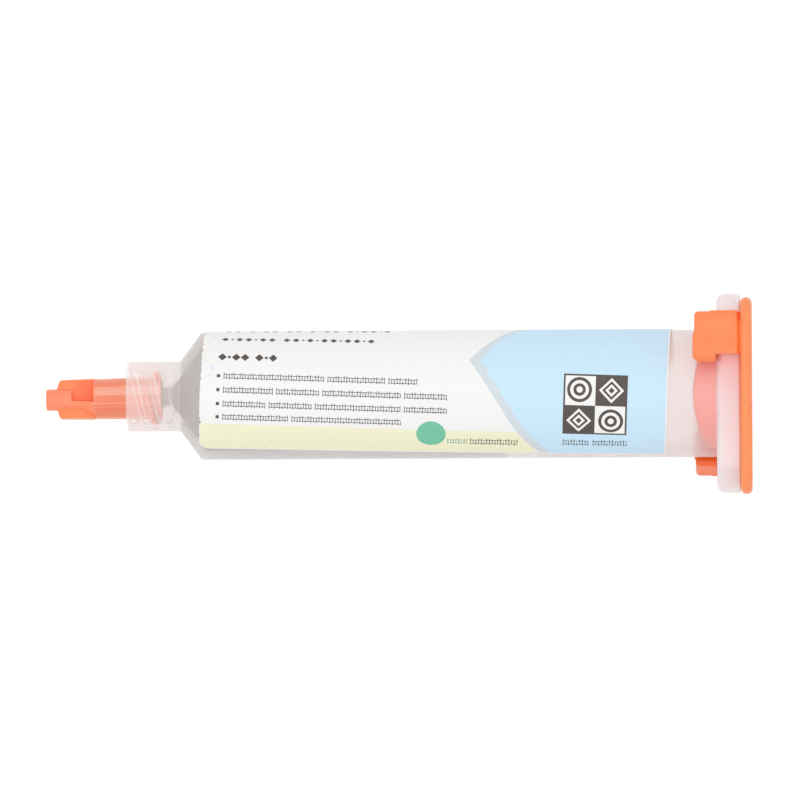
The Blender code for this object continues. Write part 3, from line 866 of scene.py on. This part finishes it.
def make_plug():
    """The plug in the barrel's mouth, its front curved back towards both sides."""
    turns = np.arange(PLUG_COLUMNS) * TURN / PLUG_COLUMNS
    sizes = [(r, 0.0) for r in np.linspace(0, PLUG_R - PLUG_EDGE, 12)]
    sizes += [(PLUG_R - PLUG_EDGE * fall, PLUG_EDGE * rise) for rise, fall in quarter(4)[1:]]
    rings = []
    for radius, drop in sizes:
        angles = turns if radius > 0 else np.zeros(1)
        across = radius * np.sin(angles)
        height = PLUG_LENGTH - drop - across**2 / (2 * PLUG_FRONT_R)
        rings.append(np.column_stack([radius * np.cos(angles), across, height]))
    rings.append(np.column_stack([rings[-1][:, :2], np.full(len(turns), -PLATE_GAP - OVERLAP)]))
    return skin("plug", rings)


def end_cap_fields(station, radius, angle):
    """Plate (0), near clip (1), painted shade on the far clip and in the grooves beside the plate (2),
    plug (3).
    """
    clip = (station > 0) & (radius > BARREL_R + 0.3 * mm)
    # Painted shade: the grooves beside the plate, and all of the far clip, take the deeper orange.
    groove = clip & (station < 0.6 * GROOVE_WIDTH)
    plug = (station > 0) & (radius < BARREL_R)
    return np.select([groove, clip & (angle < 0), clip, plug], [2, 2, 1, 3], 0)


def plate_outline():
    outline = []
    for quarter_turn, (sx, sy) in enumerate([(1, 1), (-1, 1), (-1, -1), (1, -1)]):
        centre = (sx * (PLATE_HALF_WIDTH - PLATE_CORNER), sy * (PLATE_HALF_LENGTH - PLATE_CORNER))
        start = quarter_turn * math.pi / 2
        outline += arc(PLATE_CORNER, start, start + math.pi / 2, 16, centre)
    return outline


def make_end_cap():
    """One moulding: plate with a fully rounded rim, plug and two clips."""
    rounding = PLATE_EDGE_ROUND
    plate = prism("end_cap_body", plate_outline(), PLATE_BACK, -PLATE_GAP, rounding, rounding)
    far = make_clip(FAR_PAST_CORNER)
    far.data.transform(Matrix.Rotation(math.pi, 4, "Z"))
    cap = union(plate, make_clip(NEAR_PAST_CORNER), far)
    cap.data.transform(Matrix.Translation((0, -END_CAP_SAG, 0)))
    return set_fields(in_turning_frame(union(cap, make_plug())), end_cap_fields)


# Label
def box_shape(low, high, corner=0.0):
    """A rectangle on the label page, from its lower left to its upper right corner."""
    (x0, y0), (x1, y1) = low, high
    rounding = min(corner, 0.49 * (x1 - x0), 0.49 * (y1 - y0))
    corners = [(x0, y0, rounding), (x1, y0, rounding), (x1, y1, rounding), (x0, y1, rounding)]
    return filleted(corners, ring=True, steps=3)


def disc_shape(centre, radius, sides=32):
    return arc(radius, 0, TURN * (1 - 1 / sides), sides - 1, centre)


def diamond_shape(centre, radius):
    x, y = centre
    return [(x + radius, y), (x, y + radius), (x - radius, y), (x, y - radius)]


def in_mm(points):
    return [(x * mm, y * mm) for x, y in points]


def ornaments(left, right, middle, height, marks, ink):
    """A heading as a row of large (#) and small (.) solid diamonds."""
    unit = (right - left) / sum(MARK_WIDTHS[mark] for mark in marks)
    shapes = []
    for mark in marks:
        x = left + MARK_WIDTHS[mark] * unit / 2
        if mark in MARK_RADII:
            shapes.append((ink, diamond_shape((x, middle), MARK_RADII[mark] * height)))
        left += MARK_WIDTHS[mark] * unit
    return shapes


def hatched(left, right, middle, height, words, ink):
    """A line of fine print as strips of plain hatching, one to a word."""
    gap = 0.5 * height
    unit = (right - left - gap * (len(words) - 1)) / sum(words)
    base = middle - height / 2
    shapes = []
    for word in words:
        end = left + word * unit
        for share in HATCH_RAILS:
            low = base + share * height - HATCH_LINE / 2
            shapes.append((ink, box_shape((left, low), (end, low + HATCH_LINE))))
        rungs = round(word * unit / HATCH_RUNG)
        for rung in range(rungs + 1):
            x = left + (end - left - HATCH_LINE) * rung / rungs
            low, high = HATCH_SPANS[rung % len(HATCH_SPANS)]
            rung_end = (x + HATCH_LINE, base + high * height)
            shapes.append((ink, box_shape((x, base + low * height), rung_end)))
        left = end + gap
    return shapes


def field_shapes():
    """The yellow band, and the chevron's blue field in its grey outline."""
    right = LABEL_LENGTH - PAGE_BORDER
    top = LABEL_HEIGHT - PAGE_BORDER
    far_side = [(right, top), (right, PAGE_BORDER)]
    yellow = box_shape((PAGE_BORDER, PAGE_BORDER), BAND_CORNER)
    grey = in_mm(CHEVRON_OUTER) + [(60 * mm, top)] + far_side
    blue = in_mm(CHEVRON_INNER) + [(62 * mm, top)] + far_side
    return [("yellow", yellow), ("grey", grey), ("blue", blue)]


def dirt_shapes():
    """Pale smears and specks of dirt."""
    smears = [("smear", diamond_shape((x * mm, y * mm), r * mm)) for x, y, r in SMEARS]
    return smears + [("speck", disc_shape(place, SPECK_R, 6)) for place in in_mm(SPECKS)]


def text_shapes():
    """Three headings, four bulleted lines, and a plain round mark with marks beside it."""
    shapes = []
    for left, right, middle, height, marks, ink in HEADINGS:
        shapes += ornaments(left * mm, right * mm, middle * mm, height * mm, marks, ink)
    for middle, end, words in BULLETED:
        low = (BULLET_X - BULLET_HALF, middle * mm - BULLET_HALF)
        high = (BULLET_X + BULLET_HALF, middle * mm + BULLET_HALF)
        shapes.append(("ink", box_shape(low, high)))
        shapes += hatched(BULLETED_LEFT, end * mm, middle * mm, BULLETED_HEIGHT, words, "small_ink")
    shapes.append(("green", disc_shape(DISC_CENTRE, DISC_R)))
    shapes += hatched(36.2 * mm, 39.1 * mm, 2.7 * mm, 1.1 * mm, [1], "green_ink")
    return shapes + hatched(39.5 * mm, 46.4 * mm, 2.7 * mm, 1.3 * mm, [5], "ink")


def tile_shapes():
    """Four framed tiles with plain figures, and a line of marks below them."""
    (x0, y0), (x1, y1) = TILES_LOW, TILES_HIGH
    middle = ((x0 + x1) / 2, (y0 + y1) / 2)
    shapes = [
        ("ink", box_shape(TILES_LOW, TILES_HIGH)),
        ("white", box_shape((x0 + TILES_LINE, middle[1]), (middle[0], y1 - TILES_LINE))),
        ("white", box_shape((middle[0], y0 + TILES_LINE), (x1 - TILES_LINE, middle[1]))),
    ]
    for sx, sy in [(-1, 1), (1, 1), (-1, -1), (1, -1)]:
        centre = (middle[0] + sx * (x1 - x0) / 4, middle[1] + sy * (y1 - y0) / 4)
        on_white = sx * sy < 0
        figure = disc_shape if on_white else diamond_shape
        inks = ["ink", "white"] if on_white else ["white", "ink"]
        for i, share in enumerate((0.8, 0.6, 0.4, 0.2)):
            shapes.append((inks[i % 2], figure(centre, share * (y1 - y0) / 4)))
    return shapes + hatched(53.0 * mm, 62.3 * mm, 2.95 * mm, 1.3 * mm, [3, 4], "ink")


def page_shapes():
    """The label's print, as (ink, outline) in paint order.

    The page's origin is its lower left corner as the label reads, with the nose
    at the left.
    """
    return field_shapes() + dirt_shapes() + text_shapes() + tile_shapes()


def frayed_outline():
    """The label's outline, with a front edge worn ragged by handling."""
    outline = box_shape((0, 0), (LABEL_LENGTH, LABEL_HEIGHT), LABEL_CORNER)
    chance = np.random.default_rng(7)
    for height in np.arange(LABEL_HEIGHT - 1.1 * LABEL_CORNER, 1.1 * LABEL_CORNER, -0.3 * mm):
        depth = LABEL_FRAY * (0.12 * chance.random() + 0.88 * chance.random() ** 8)
        outline.append((depth, height + 0.1 * mm * chance.random()))
    return outline


def inside_polygon(points, outline):
    """Which of the points lie inside a closed outline."""
    x, y = points[:, 0], points[:, 1]
    inside = np.zeros(len(points), bool)
    ends = np.array(outline)
    for (x0, y0), (x1, y1) in zip(ends, np.roll(ends, -1, axis=0)):
        if y0 == y1:
            continue
        crosses = (y0 > y) != (y1 > y)
        inside ^= crosses & (x < (x1 - x0) * (y - y0) / (y1 - y0) + x0)
    return inside


def page_mesh(inks):
    """The flat label, cut along every outline of its print, with a material for each field."""
    outline = frayed_outline()
    shapes = page_shapes()
    points, edges = [], []
    for shape in [outline] + [shape for ink, shape in shapes]:
        first = len(points)
        count = len(shape)
        points += [Vector(point) for point in shape]
        edges += [(first + i, first + (i + 1) % count) for i in range(count)]
    verts, _, faces, *_ = delaunay_2d_cdt(points, edges, [], 0, 1e-7)
    places = np.array([(v.x, v.y) for v in verts])
    middles = np.array([places[list(face)].mean(axis=0) for face in faces])
    fields = np.zeros(len(faces), int)
    for ink, shape in shapes:
        fields[inside_polygon(middles, shape)] = inks.index(ink)
    kept = inside_polygon(middles, outline)
    kept_faces = [list(face) for face, keep in zip(faces, kept) if keep]
    mesh = bpy.data.meshes.new("page")
    mesh.from_pydata([(x, y, 0) for x, y in places], [], kept_faces)
    mesh.polygons.foreach_set("material_index", fields[kept].astype(np.int32))
    return mesh


def cut_page(inks):
    """The page, skewed a little about its middle and cut into narrow facets."""
    page = bmesh.new()
    page.from_mesh(page_mesh(inks))
    bmesh.ops.dissolve_limit(
        page, angle_limit=0.01, verts=page.verts, edges=page.edges, delimit={"MATERIAL"}
    )
    page.transform(Matrix.Translation((-LABEL_LENGTH / 2, -LABEL_HEIGHT / 2, 0)))
    page.transform(Matrix.Rotation(-LABEL_SKEW, 4, "Z"))
    half_turn = round(math.pi / LABEL_FACET)
    for facet in range(-half_turn, half_turn):
        across = (0, LABEL_INNER_R * (facet * LABEL_FACET - LABEL_ANGLE), 0)
        parts = page.verts[:] + page.edges[:] + page.faces[:]
        bmesh.ops.bisect_plane(page, geom=parts, dist=1e-7, plane_co=across, plane_no=(0, 1, 0))
    page.verts.index_update()
    return page


def label_normals(mesh, angle, sides):
    """A normal for each face corner: radial on the two printed sides, flat on the rim."""
    radial = np.stack([np.zeros(len(angle)), np.sin(angle), np.cos(angle)], axis=1)
    normals = np.zeros((len(mesh.loops), 3))
    for polygon in mesh.polygons:
        loops = list(polygon.loop_indices)
        verts = [mesh.loops[i].vertex_index % len(angle) for i in loops]
        if polygon.index < sides:
            normals[loops] = radial[verts]
        elif polygon.index < 2 * sides:
            normals[loops] = -radial[verts]
        else:
            normals[loops] = polygon.normal
    return normals


def make_label(inks):
    """The cut page bent round the barrel and given its thickness."""
    page = cut_page(inks)
    flat = np.array([(v.co.x, v.co.y) for v in page.verts])
    faces = [[v.index for v in face.verts] for face in page.faces]
    fields = [face.material_index for face in page.faces]
    rim_loops = [edge.link_loops[0] for edge in page.edges if edge.is_boundary]
    rims = [(loop.vert.index, loop.link_loop_next.vert.index) for loop in rim_loops]
    page.free()
    angle = LABEL_ANGLE + flat[:, 1] / LABEL_INNER_R
    station = LABEL_FRONT - LABEL_LENGTH / 2 - flat[:, 0]
    inner = turned_points(station, LABEL_INNER_R, angle)
    outer = turned_points(station, LABEL_INNER_R + LABEL_THICKNESS, angle)
    count = len(flat)
    solid = [[i + count for i in face] for face in faces] + [face[::-1] for face in faces]
    solid += [[a, b, b + count, a + count] for a, b in rims]
    mesh = bpy.data.meshes.new("printed_label")
    mesh.from_pydata(np.concatenate([inner, outer]).tolist(), [], solid)
    mesh.polygons.foreach_set("material_index", fields + [0] * (len(faces) + len(rims)))
    mesh.shade_smooth()
    mesh.normals_split_custom_set(label_normals(mesh, angle, len(faces)).tolist())
    return new_object("printed_label", mesh)


# Materials
def linear(red, green, blue):
    """A colour given as screen values from 0 to 255."""
    values = []
    for value in (red, green, blue):
        value /= 255
        values.append(value / 12.92 if value <= 0.04045 else ((value + 0.055) / 1.055) ** 2.4)
    return (*values, 1.0)


def new_node(tree, kind, *inputs, **named):
    """A shader node, with a value or a link for its inputs, given in order or by name."""
    node = tree.nodes.new("ShaderNode" + kind)
    named = {name.replace("_", " "): value for name, value in named.items()}
    for socket, value in [*enumerate(inputs), *named.items()]:
        if isinstance(value, bpy.types.NodeSocket):
            tree.links.new(value, node.inputs[socket])
        else:
            node.inputs[socket].default_value = value
    return node


class Finish:
    """A procedural material round one Principled shader."""

    def __init__(self, name, **settings):
        self.material = bpy.data.materials.new(name)
        self.material.use_nodes = True
        self.tree = self.material.node_tree
        self.shader = self.tree.nodes["Principled BSDF"]
        for socket, value in settings.items():
            self.shader.inputs[socket.replace("_", " ")].default_value = value
        self.place = new_node(self.tree, "TexCoord").outputs["Object"]

    def feed(self, socket, output):
        self.tree.links.new(output, self.shader.inputs[socket])

    def noise(self, size, detail=2.0):
        """Soft noise whose features are about the given size."""
        return new_node(self.tree, "TexNoise", self.place, Scale=1 / size, Detail=detail).outputs["Fac"]

    def along(self, axis, low, high, wobble):
        """How far along one axis of the row frame, from 0 at low to 1 at high, a little uneven."""
        split = new_node(self.tree, "SeparateXYZ", self.place)
        share = new_node(self.tree, "MapRange", split.outputs[axis], From_Min=low, From_Max=high)
        uneven = new_node(self.tree, "Math", self.noise(2 * mm), wobble, share.outputs["Result"])
        uneven.operation = "MULTIPLY_ADD"
        return uneven.outputs[0]

    def hatch(self, pitch):
        """Fine lines across the turning axis, at a pitch."""
        look = {"Scale": math.pi / 10 / pitch, "Distortion": 1.5, "Detail": 2, "Detail_Scale": 0.3}
        return new_node(self.tree, "TexWave", self.place, **look).outputs["Fac"]

    def colour(self, value, *stops):
        """The base colour: screen colours at given values, blended between."""
        node = new_node(self.tree, "ValToRGB", value)
        elements = node.color_ramp.elements
        while len(elements) < len(stops):
            elements.new(0.5)
        for element, (position, screen_colour) in zip(elements, stops):
            element.position = position
            element.color = linear(*screen_colour)
        self.feed("Base Color", node.outputs["Color"])

    def roughness(self, size, low, high):
        """Roughness that drifts between two values over a given size."""
        ends = {"From_Min": 0.3, "From_Max": 0.7, "To_Min": low, "To_Max": high}
        self.feed("Roughness", new_node(self.tree, "MapRange", self.noise(size), **ends).outputs["Result"])

    def bump(self, value, height):
        node = new_node(self.tree, "Bump", Height=value, Distance=height, Strength=1.0)
        self.feed("Normal", node.outputs["Normal"])


def barrel_plastic(name, **settings):
    """Milky see-through polypropylene, as thin walls show it."""
    finish = Finish(name, **settings)
    finish.colour(finish.noise(6 * mm, 3), (0.3, (245, 235, 234)), (0.7, (249, 240, 239)))
    return finish.material


def flange_plastic():
    """The same plastic where it is thick: nearly solid, and pink beside the orange clip, a painted glow of
    the orange parts' light on the +Y side.
    """
    skin_depth = {"Subsurface_Scale": 1.5 * mm, "Subsurface_Radius": (1.0, 0.8, 0.7)}
    finish = Finish("thick_polypropylene_painted_glow", Subsurface_Weight=0.5, IOR=1.49, **skin_depth)
    across = finish.along("Y", -FLANGE_R, FLANGE_R, wobble=0.06)
    far_side = [(0.0, (242, 232, 232)), (0.5, (238, 213, 214))]
    # Painted glow: pink towards +Y as if the orange parts' light shone through, pale again at the end.
    painted_pink_glow = [(0.71, (243, 188, 186)), (0.93, (242, 228, 227))]
    finish.colour(across, *far_side, *painted_pink_glow)
    finish.roughness(0.8 * mm, 0.32, 0.4)
    finish.bump(finish.noise(0.3 * mm, 3), 0.004 * mm)
    return finish.material


def thread_highlight_plastic():
    """The thread's flanks, which turn the light and so look white: an opaque white here, a painted
    highlight.
    """
    finish = Finish("thread_painted_highlight", IOR=1.49)
    finish.colour(finish.noise(0.5 * mm), (0.3, (252, 248, 248)), (0.7, (255, 253, 253)))
    finish.roughness(0.8 * mm, 0.32, 0.4)
    return finish.material


ORANGE_SKIN = {
    "Subsurface_Weight": 0.15,
    "Subsurface_Scale": 1.0 * mm,
    "Subsurface_Radius": (1.0, 0.4, 0.2),
}


def cap_plastic(name, low, high):
    """Bright orange polyethylene, a little translucent."""
    finish = Finish(name, **ORANGE_SKIN)
    finish.colour(finish.noise(3 * mm, 3), (0.3, low), (0.7, high))
    finish.roughness(0.8 * mm, 0.32, 0.42)
    finish.bump(finish.noise(0.2 * mm, 3), 0.004 * mm)
    return finish.material


def hollow_painted_shade_plastic():
    """The orange beside the wings, with painted shade that is deepest against the grip."""
    finish = Finish("orange_hollow_painted_shade", Roughness=0.4, **ORANGE_SKIN)
    # Painted shade: lighter towards the stub, darker back towards the grip.
    back = finish.along("X", AXIS.x - STUB_BACK, AXIS.x - CAP_SHOULDER, wobble=0.2)
    finish.colour(back, (0.0, (252, 140, 88)), (0.4, (252, 125, 76)), (1.0, (251, 120, 73)))
    finish.bump(finish.noise(0.2 * mm, 3), 0.004 * mm)
    return finish.material


def marked_lit_plastic():
    """Pale stripes of the grip with a painted highlight where the light falls, and fine marks left across
    them by the mould, bumped and painted paler on their crests as glints.
    """
    finish = Finish("orange_marked_painted_highlight", **ORANGE_SKIN)
    marks = finish.hatch(MARK_PITCH)
    finish.colour(marks, (0.2, (244, 152, 126)), (0.8, (250, 184, 164)))
    finish.roughness(0.8 * mm, 0.32, 0.42)
    finish.bump(marks, 0.012 * mm)
    return finish.material


def paste_grey():
    """Grey paste, a little mottled where it wets the wall."""
    finish = Finish("grey_paste")
    finish.colour(finish.noise(1.6 * mm, 5), (0.3, (141, 140, 134)), (0.7, (163, 161, 153)))
    finish.roughness(0.4 * mm, 0.45, 0.6)
    finish.bump(finish.noise(0.15 * mm, 4), 0.02 * mm)
    return finish.material


def piston_plastic():
    finish = Finish("white_polyethylene", IOR=1.5)
    finish.colour(finish.noise(2 * mm, 3), (0.3, (232, 229, 225)), (0.7, (240, 238, 235)))
    finish.roughness(0.8 * mm, 0.35, 0.45)
    finish.bump(finish.noise(0.2 * mm, 3), 0.004 * mm)
    return finish.material


INKS = {
    "white": ((240, 240, 239), (243, 243, 242)),
    "yellow": ((240, 239, 203), (242, 240, 208)),
    "blue": ((193, 226, 247), (206, 233, 250)),
    "grey": ((206, 216, 222), (212, 221, 227)),
    "ink": ((72, 62, 59), (86, 77, 73)),
    "small_ink": ((84, 76, 72), (104, 96, 92)),
    "smear": ((222, 231, 243), (230, 236, 244)),
    "speck": ((150, 142, 120), (176, 168, 140)),
    "green": ((108, 190, 158), (122, 200, 168)),
    "green_ink": ((120, 165, 145), (135, 178, 158)),
}


def label_ink(name):
    """One printed field of the coated paper label, with the print's fine grain."""
    low, high = INKS[name]
    finish = Finish("label_" + name)
    finish.colour(finish.noise(0.22 * mm, 2), (0.35, low), (0.65, high))
    finish.roughness(0.6 * mm, 0.42, 0.52)
    finish.bump(finish.noise(0.12 * mm, 3), 0.004 * mm)
    return finish.material


# Stage
def grey(value):
    return (value, value, value, 1)


def show_apart(tree, lighting, shown, output):
    """One shader for the light that falls, another for what is seen, mirrored or seen through."""
    rays = new_node(tree, "LightPath").outputs
    seen = rays["Is Camera Ray"]
    for ray in ("Is Glossy Ray", "Is Transmission Ray"):
        either = new_node(tree, "Math", seen, rays[ray])
        either.operation = "MAXIMUM"
        seen = either.outputs[0]
    mix = new_node(tree, "MixShader", seen, lighting.outputs[0], shown.outputs[0])
    new_node(tree, output, mix.outputs[0])


def floor_white():
    """White where it is seen, with the object's shadow on it, and pale in the light it gives back."""
    material = bpy.data.materials.new("floor_white")
    material.use_nodes = True
    tree = material.node_tree
    tree.nodes.clear()
    shaded = new_node(tree, "BsdfDiffuse", grey(0.25))
    glow = new_node(tree, "Emission", grey(1.0), LIGHT_LEVEL)
    bright = new_node(tree, "AddShader", shaded.outputs[0], glow.outputs[0])
    show_apart(tree, new_node(tree, "BsdfDiffuse", grey(0.8)), bright, "OutputMaterial")
    return material


def make_floor():
    """A wide pale floor that the plate's rim and the barrel's front edge both touch."""
    rear = Vector((AXIS.x - PLATE_BACK, 0, AXIS.z - PLATE_HALF_WIDTH))
    front = Vector((AXIS.x - BARREL_LENGTH, 0, AXIS.z - BARREL_R))
    slope = math.atan2(front.z - rear.z, rear.x - front.x)
    half = 3.0
    corners = [(-half, -half, 0), (half, -half, 0), (half, half, 0), (-half, half, 0)]
    mesh = bpy.data.meshes.new("floor")
    mesh.from_pydata(corners, [], [(0, 1, 2, 3)])
    mesh.materials.append(floor_white())
    floor = new_object("floor", mesh)
    floor.location = rear
    floor.rotation_euler = (0, slope, 0)
    return slope


def make_world():
    world = bpy.data.worlds.new("studio")
    world.use_nodes = True
    bpy.context.scene.world = world
    tree = world.node_tree
    tree.nodes.clear()
    lighting = new_node(tree, "Background", grey(1.0), LIGHT_LEVEL)
    show_apart(tree, lighting, new_node(tree, "Background", grey(1.0)), "OutputWorld")


def make_lamp():
    lamp = bpy.data.lights.new("soft_key", "AREA")
    lamp.shape = "DISK"
    lamp.size = 1.8
    lamp.energy = 4.0
    obj = new_object("soft_key", lamp)
    obj.location = (-0.15, 0.15, 1.2)
    obj.rotation_euler = (AXIS - obj.location).to_track_quat("-Z", "Y").to_euler()


def make_camera(slope):
    """Looks straight down on the sloping floor, framed as the photograph is."""
    frame_width = 117 * mm
    distance = 1.5
    roll = -0.336 * degree
    camera = bpy.data.cameras.new("camera")
    camera.sensor_width = 36
    camera.lens = camera.sensor_width * distance / frame_width
    camera.clip_start = 0.1
    camera.clip_end = 20
    obj = new_object("camera", camera)
    target = Vector((0.15 * mm, -0.70 * mm, AXIS.z))
    tilt = Matrix.Rotation(slope, 4, "Y") @ Matrix.Rotation(roll, 4, "Z")
    obj.matrix_world = Matrix.Translation(target) @ tilt @ Matrix.Translation((0, 0, distance))
    bpy.context.scene.camera = obj


def dress(obj, node, body, slot, *materials):
    """Puts a piece in the place of a node, with its materials."""
    for material in materials:
        obj.data.materials.append(material)
    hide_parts(node)
    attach(obj, body)


def dress_barrel():
    """The barrel with its label and piston. Light reaches what its milky walls hold."""
    walls = [
        barrel_plastic("milky_wall", Transmission_Weight=0.45, Alpha=0.62, IOR=1.2, Roughness=0.25),
        flange_plastic(),
        thread_highlight_plastic(),
        barrel_plastic("milky_collar", Transmission_Weight=0.2, Alpha=0.5, IOR=1.3, Roughness=0.2),
        barrel_plastic("clear_bore", Transmission_Weight=0.75, Alpha=0.25, IOR=1.2, Roughness=0.2),
    ]
    barrel = smooth(make_barrel())
    barrel.visible_shadow = False
    barrel.visible_diffuse = False
    dress(barrel, "barrel", "barrel", "barrel_plastic", *walls)
    dress(smooth(make_piston()), "piston", "piston", "piston_plastic", piston_plastic())
    inks = list(INKS)
    dress(make_label(inks), "label", "barrel", "label_film", *[label_ink(ink) for ink in inks])


def dress_caps():
    """The two orange mouldings."""
    clip = cap_plastic("orange_clip", (251, 133, 78), (254, 141, 86))
    cap_tints = [
        clip,
        cap_plastic("orange_grip", (240, 131, 97), (243, 139, 105)),
        hollow_painted_shade_plastic(),
        marked_lit_plastic(),
        # Painted highlight on the grip's rib sides and front rim.
        cap_plastic("orange_edge_painted_highlight", (252, 170, 134), (254, 180, 146)),
        cap_plastic("orange_stub", (252, 140, 102), (254, 147, 109)),
    ]
    dress(smooth(make_tip_cap()), "tip_cap", "tip_cap", "cap_plastic", *cap_tints)
    end_tints = [
        cap_plastic("orange_polyethylene", (252, 140, 82), (255, 148, 90)),
        clip,
        # Painted shade for the far clip and the grooves beside the plate.
        cap_plastic("orange_painted_shade", (253, 106, 36), (255, 114, 42)),
        cap_plastic("orange_plug", (248, 96, 70), (252, 106, 80)),
    ]
    dress(smooth(make_end_cap()), "end_cap", "end_cap", "cap_plastic", *end_tints)


def dress_paste():
    """The paste, which the piston shortens as it slides."""
    paste = smooth(make_paste())
    paste.data.materials.append(paste_grey())
    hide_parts("solder_paste")
    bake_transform(paste)


def main():
    bpy.context.scene.view_settings.view_transform = "Standard"
    dress_barrel()
    dress_caps()
    dress_paste()
    slope = make_floor()
    make_world()
    make_lamp()
    make_camera(slope)


main()
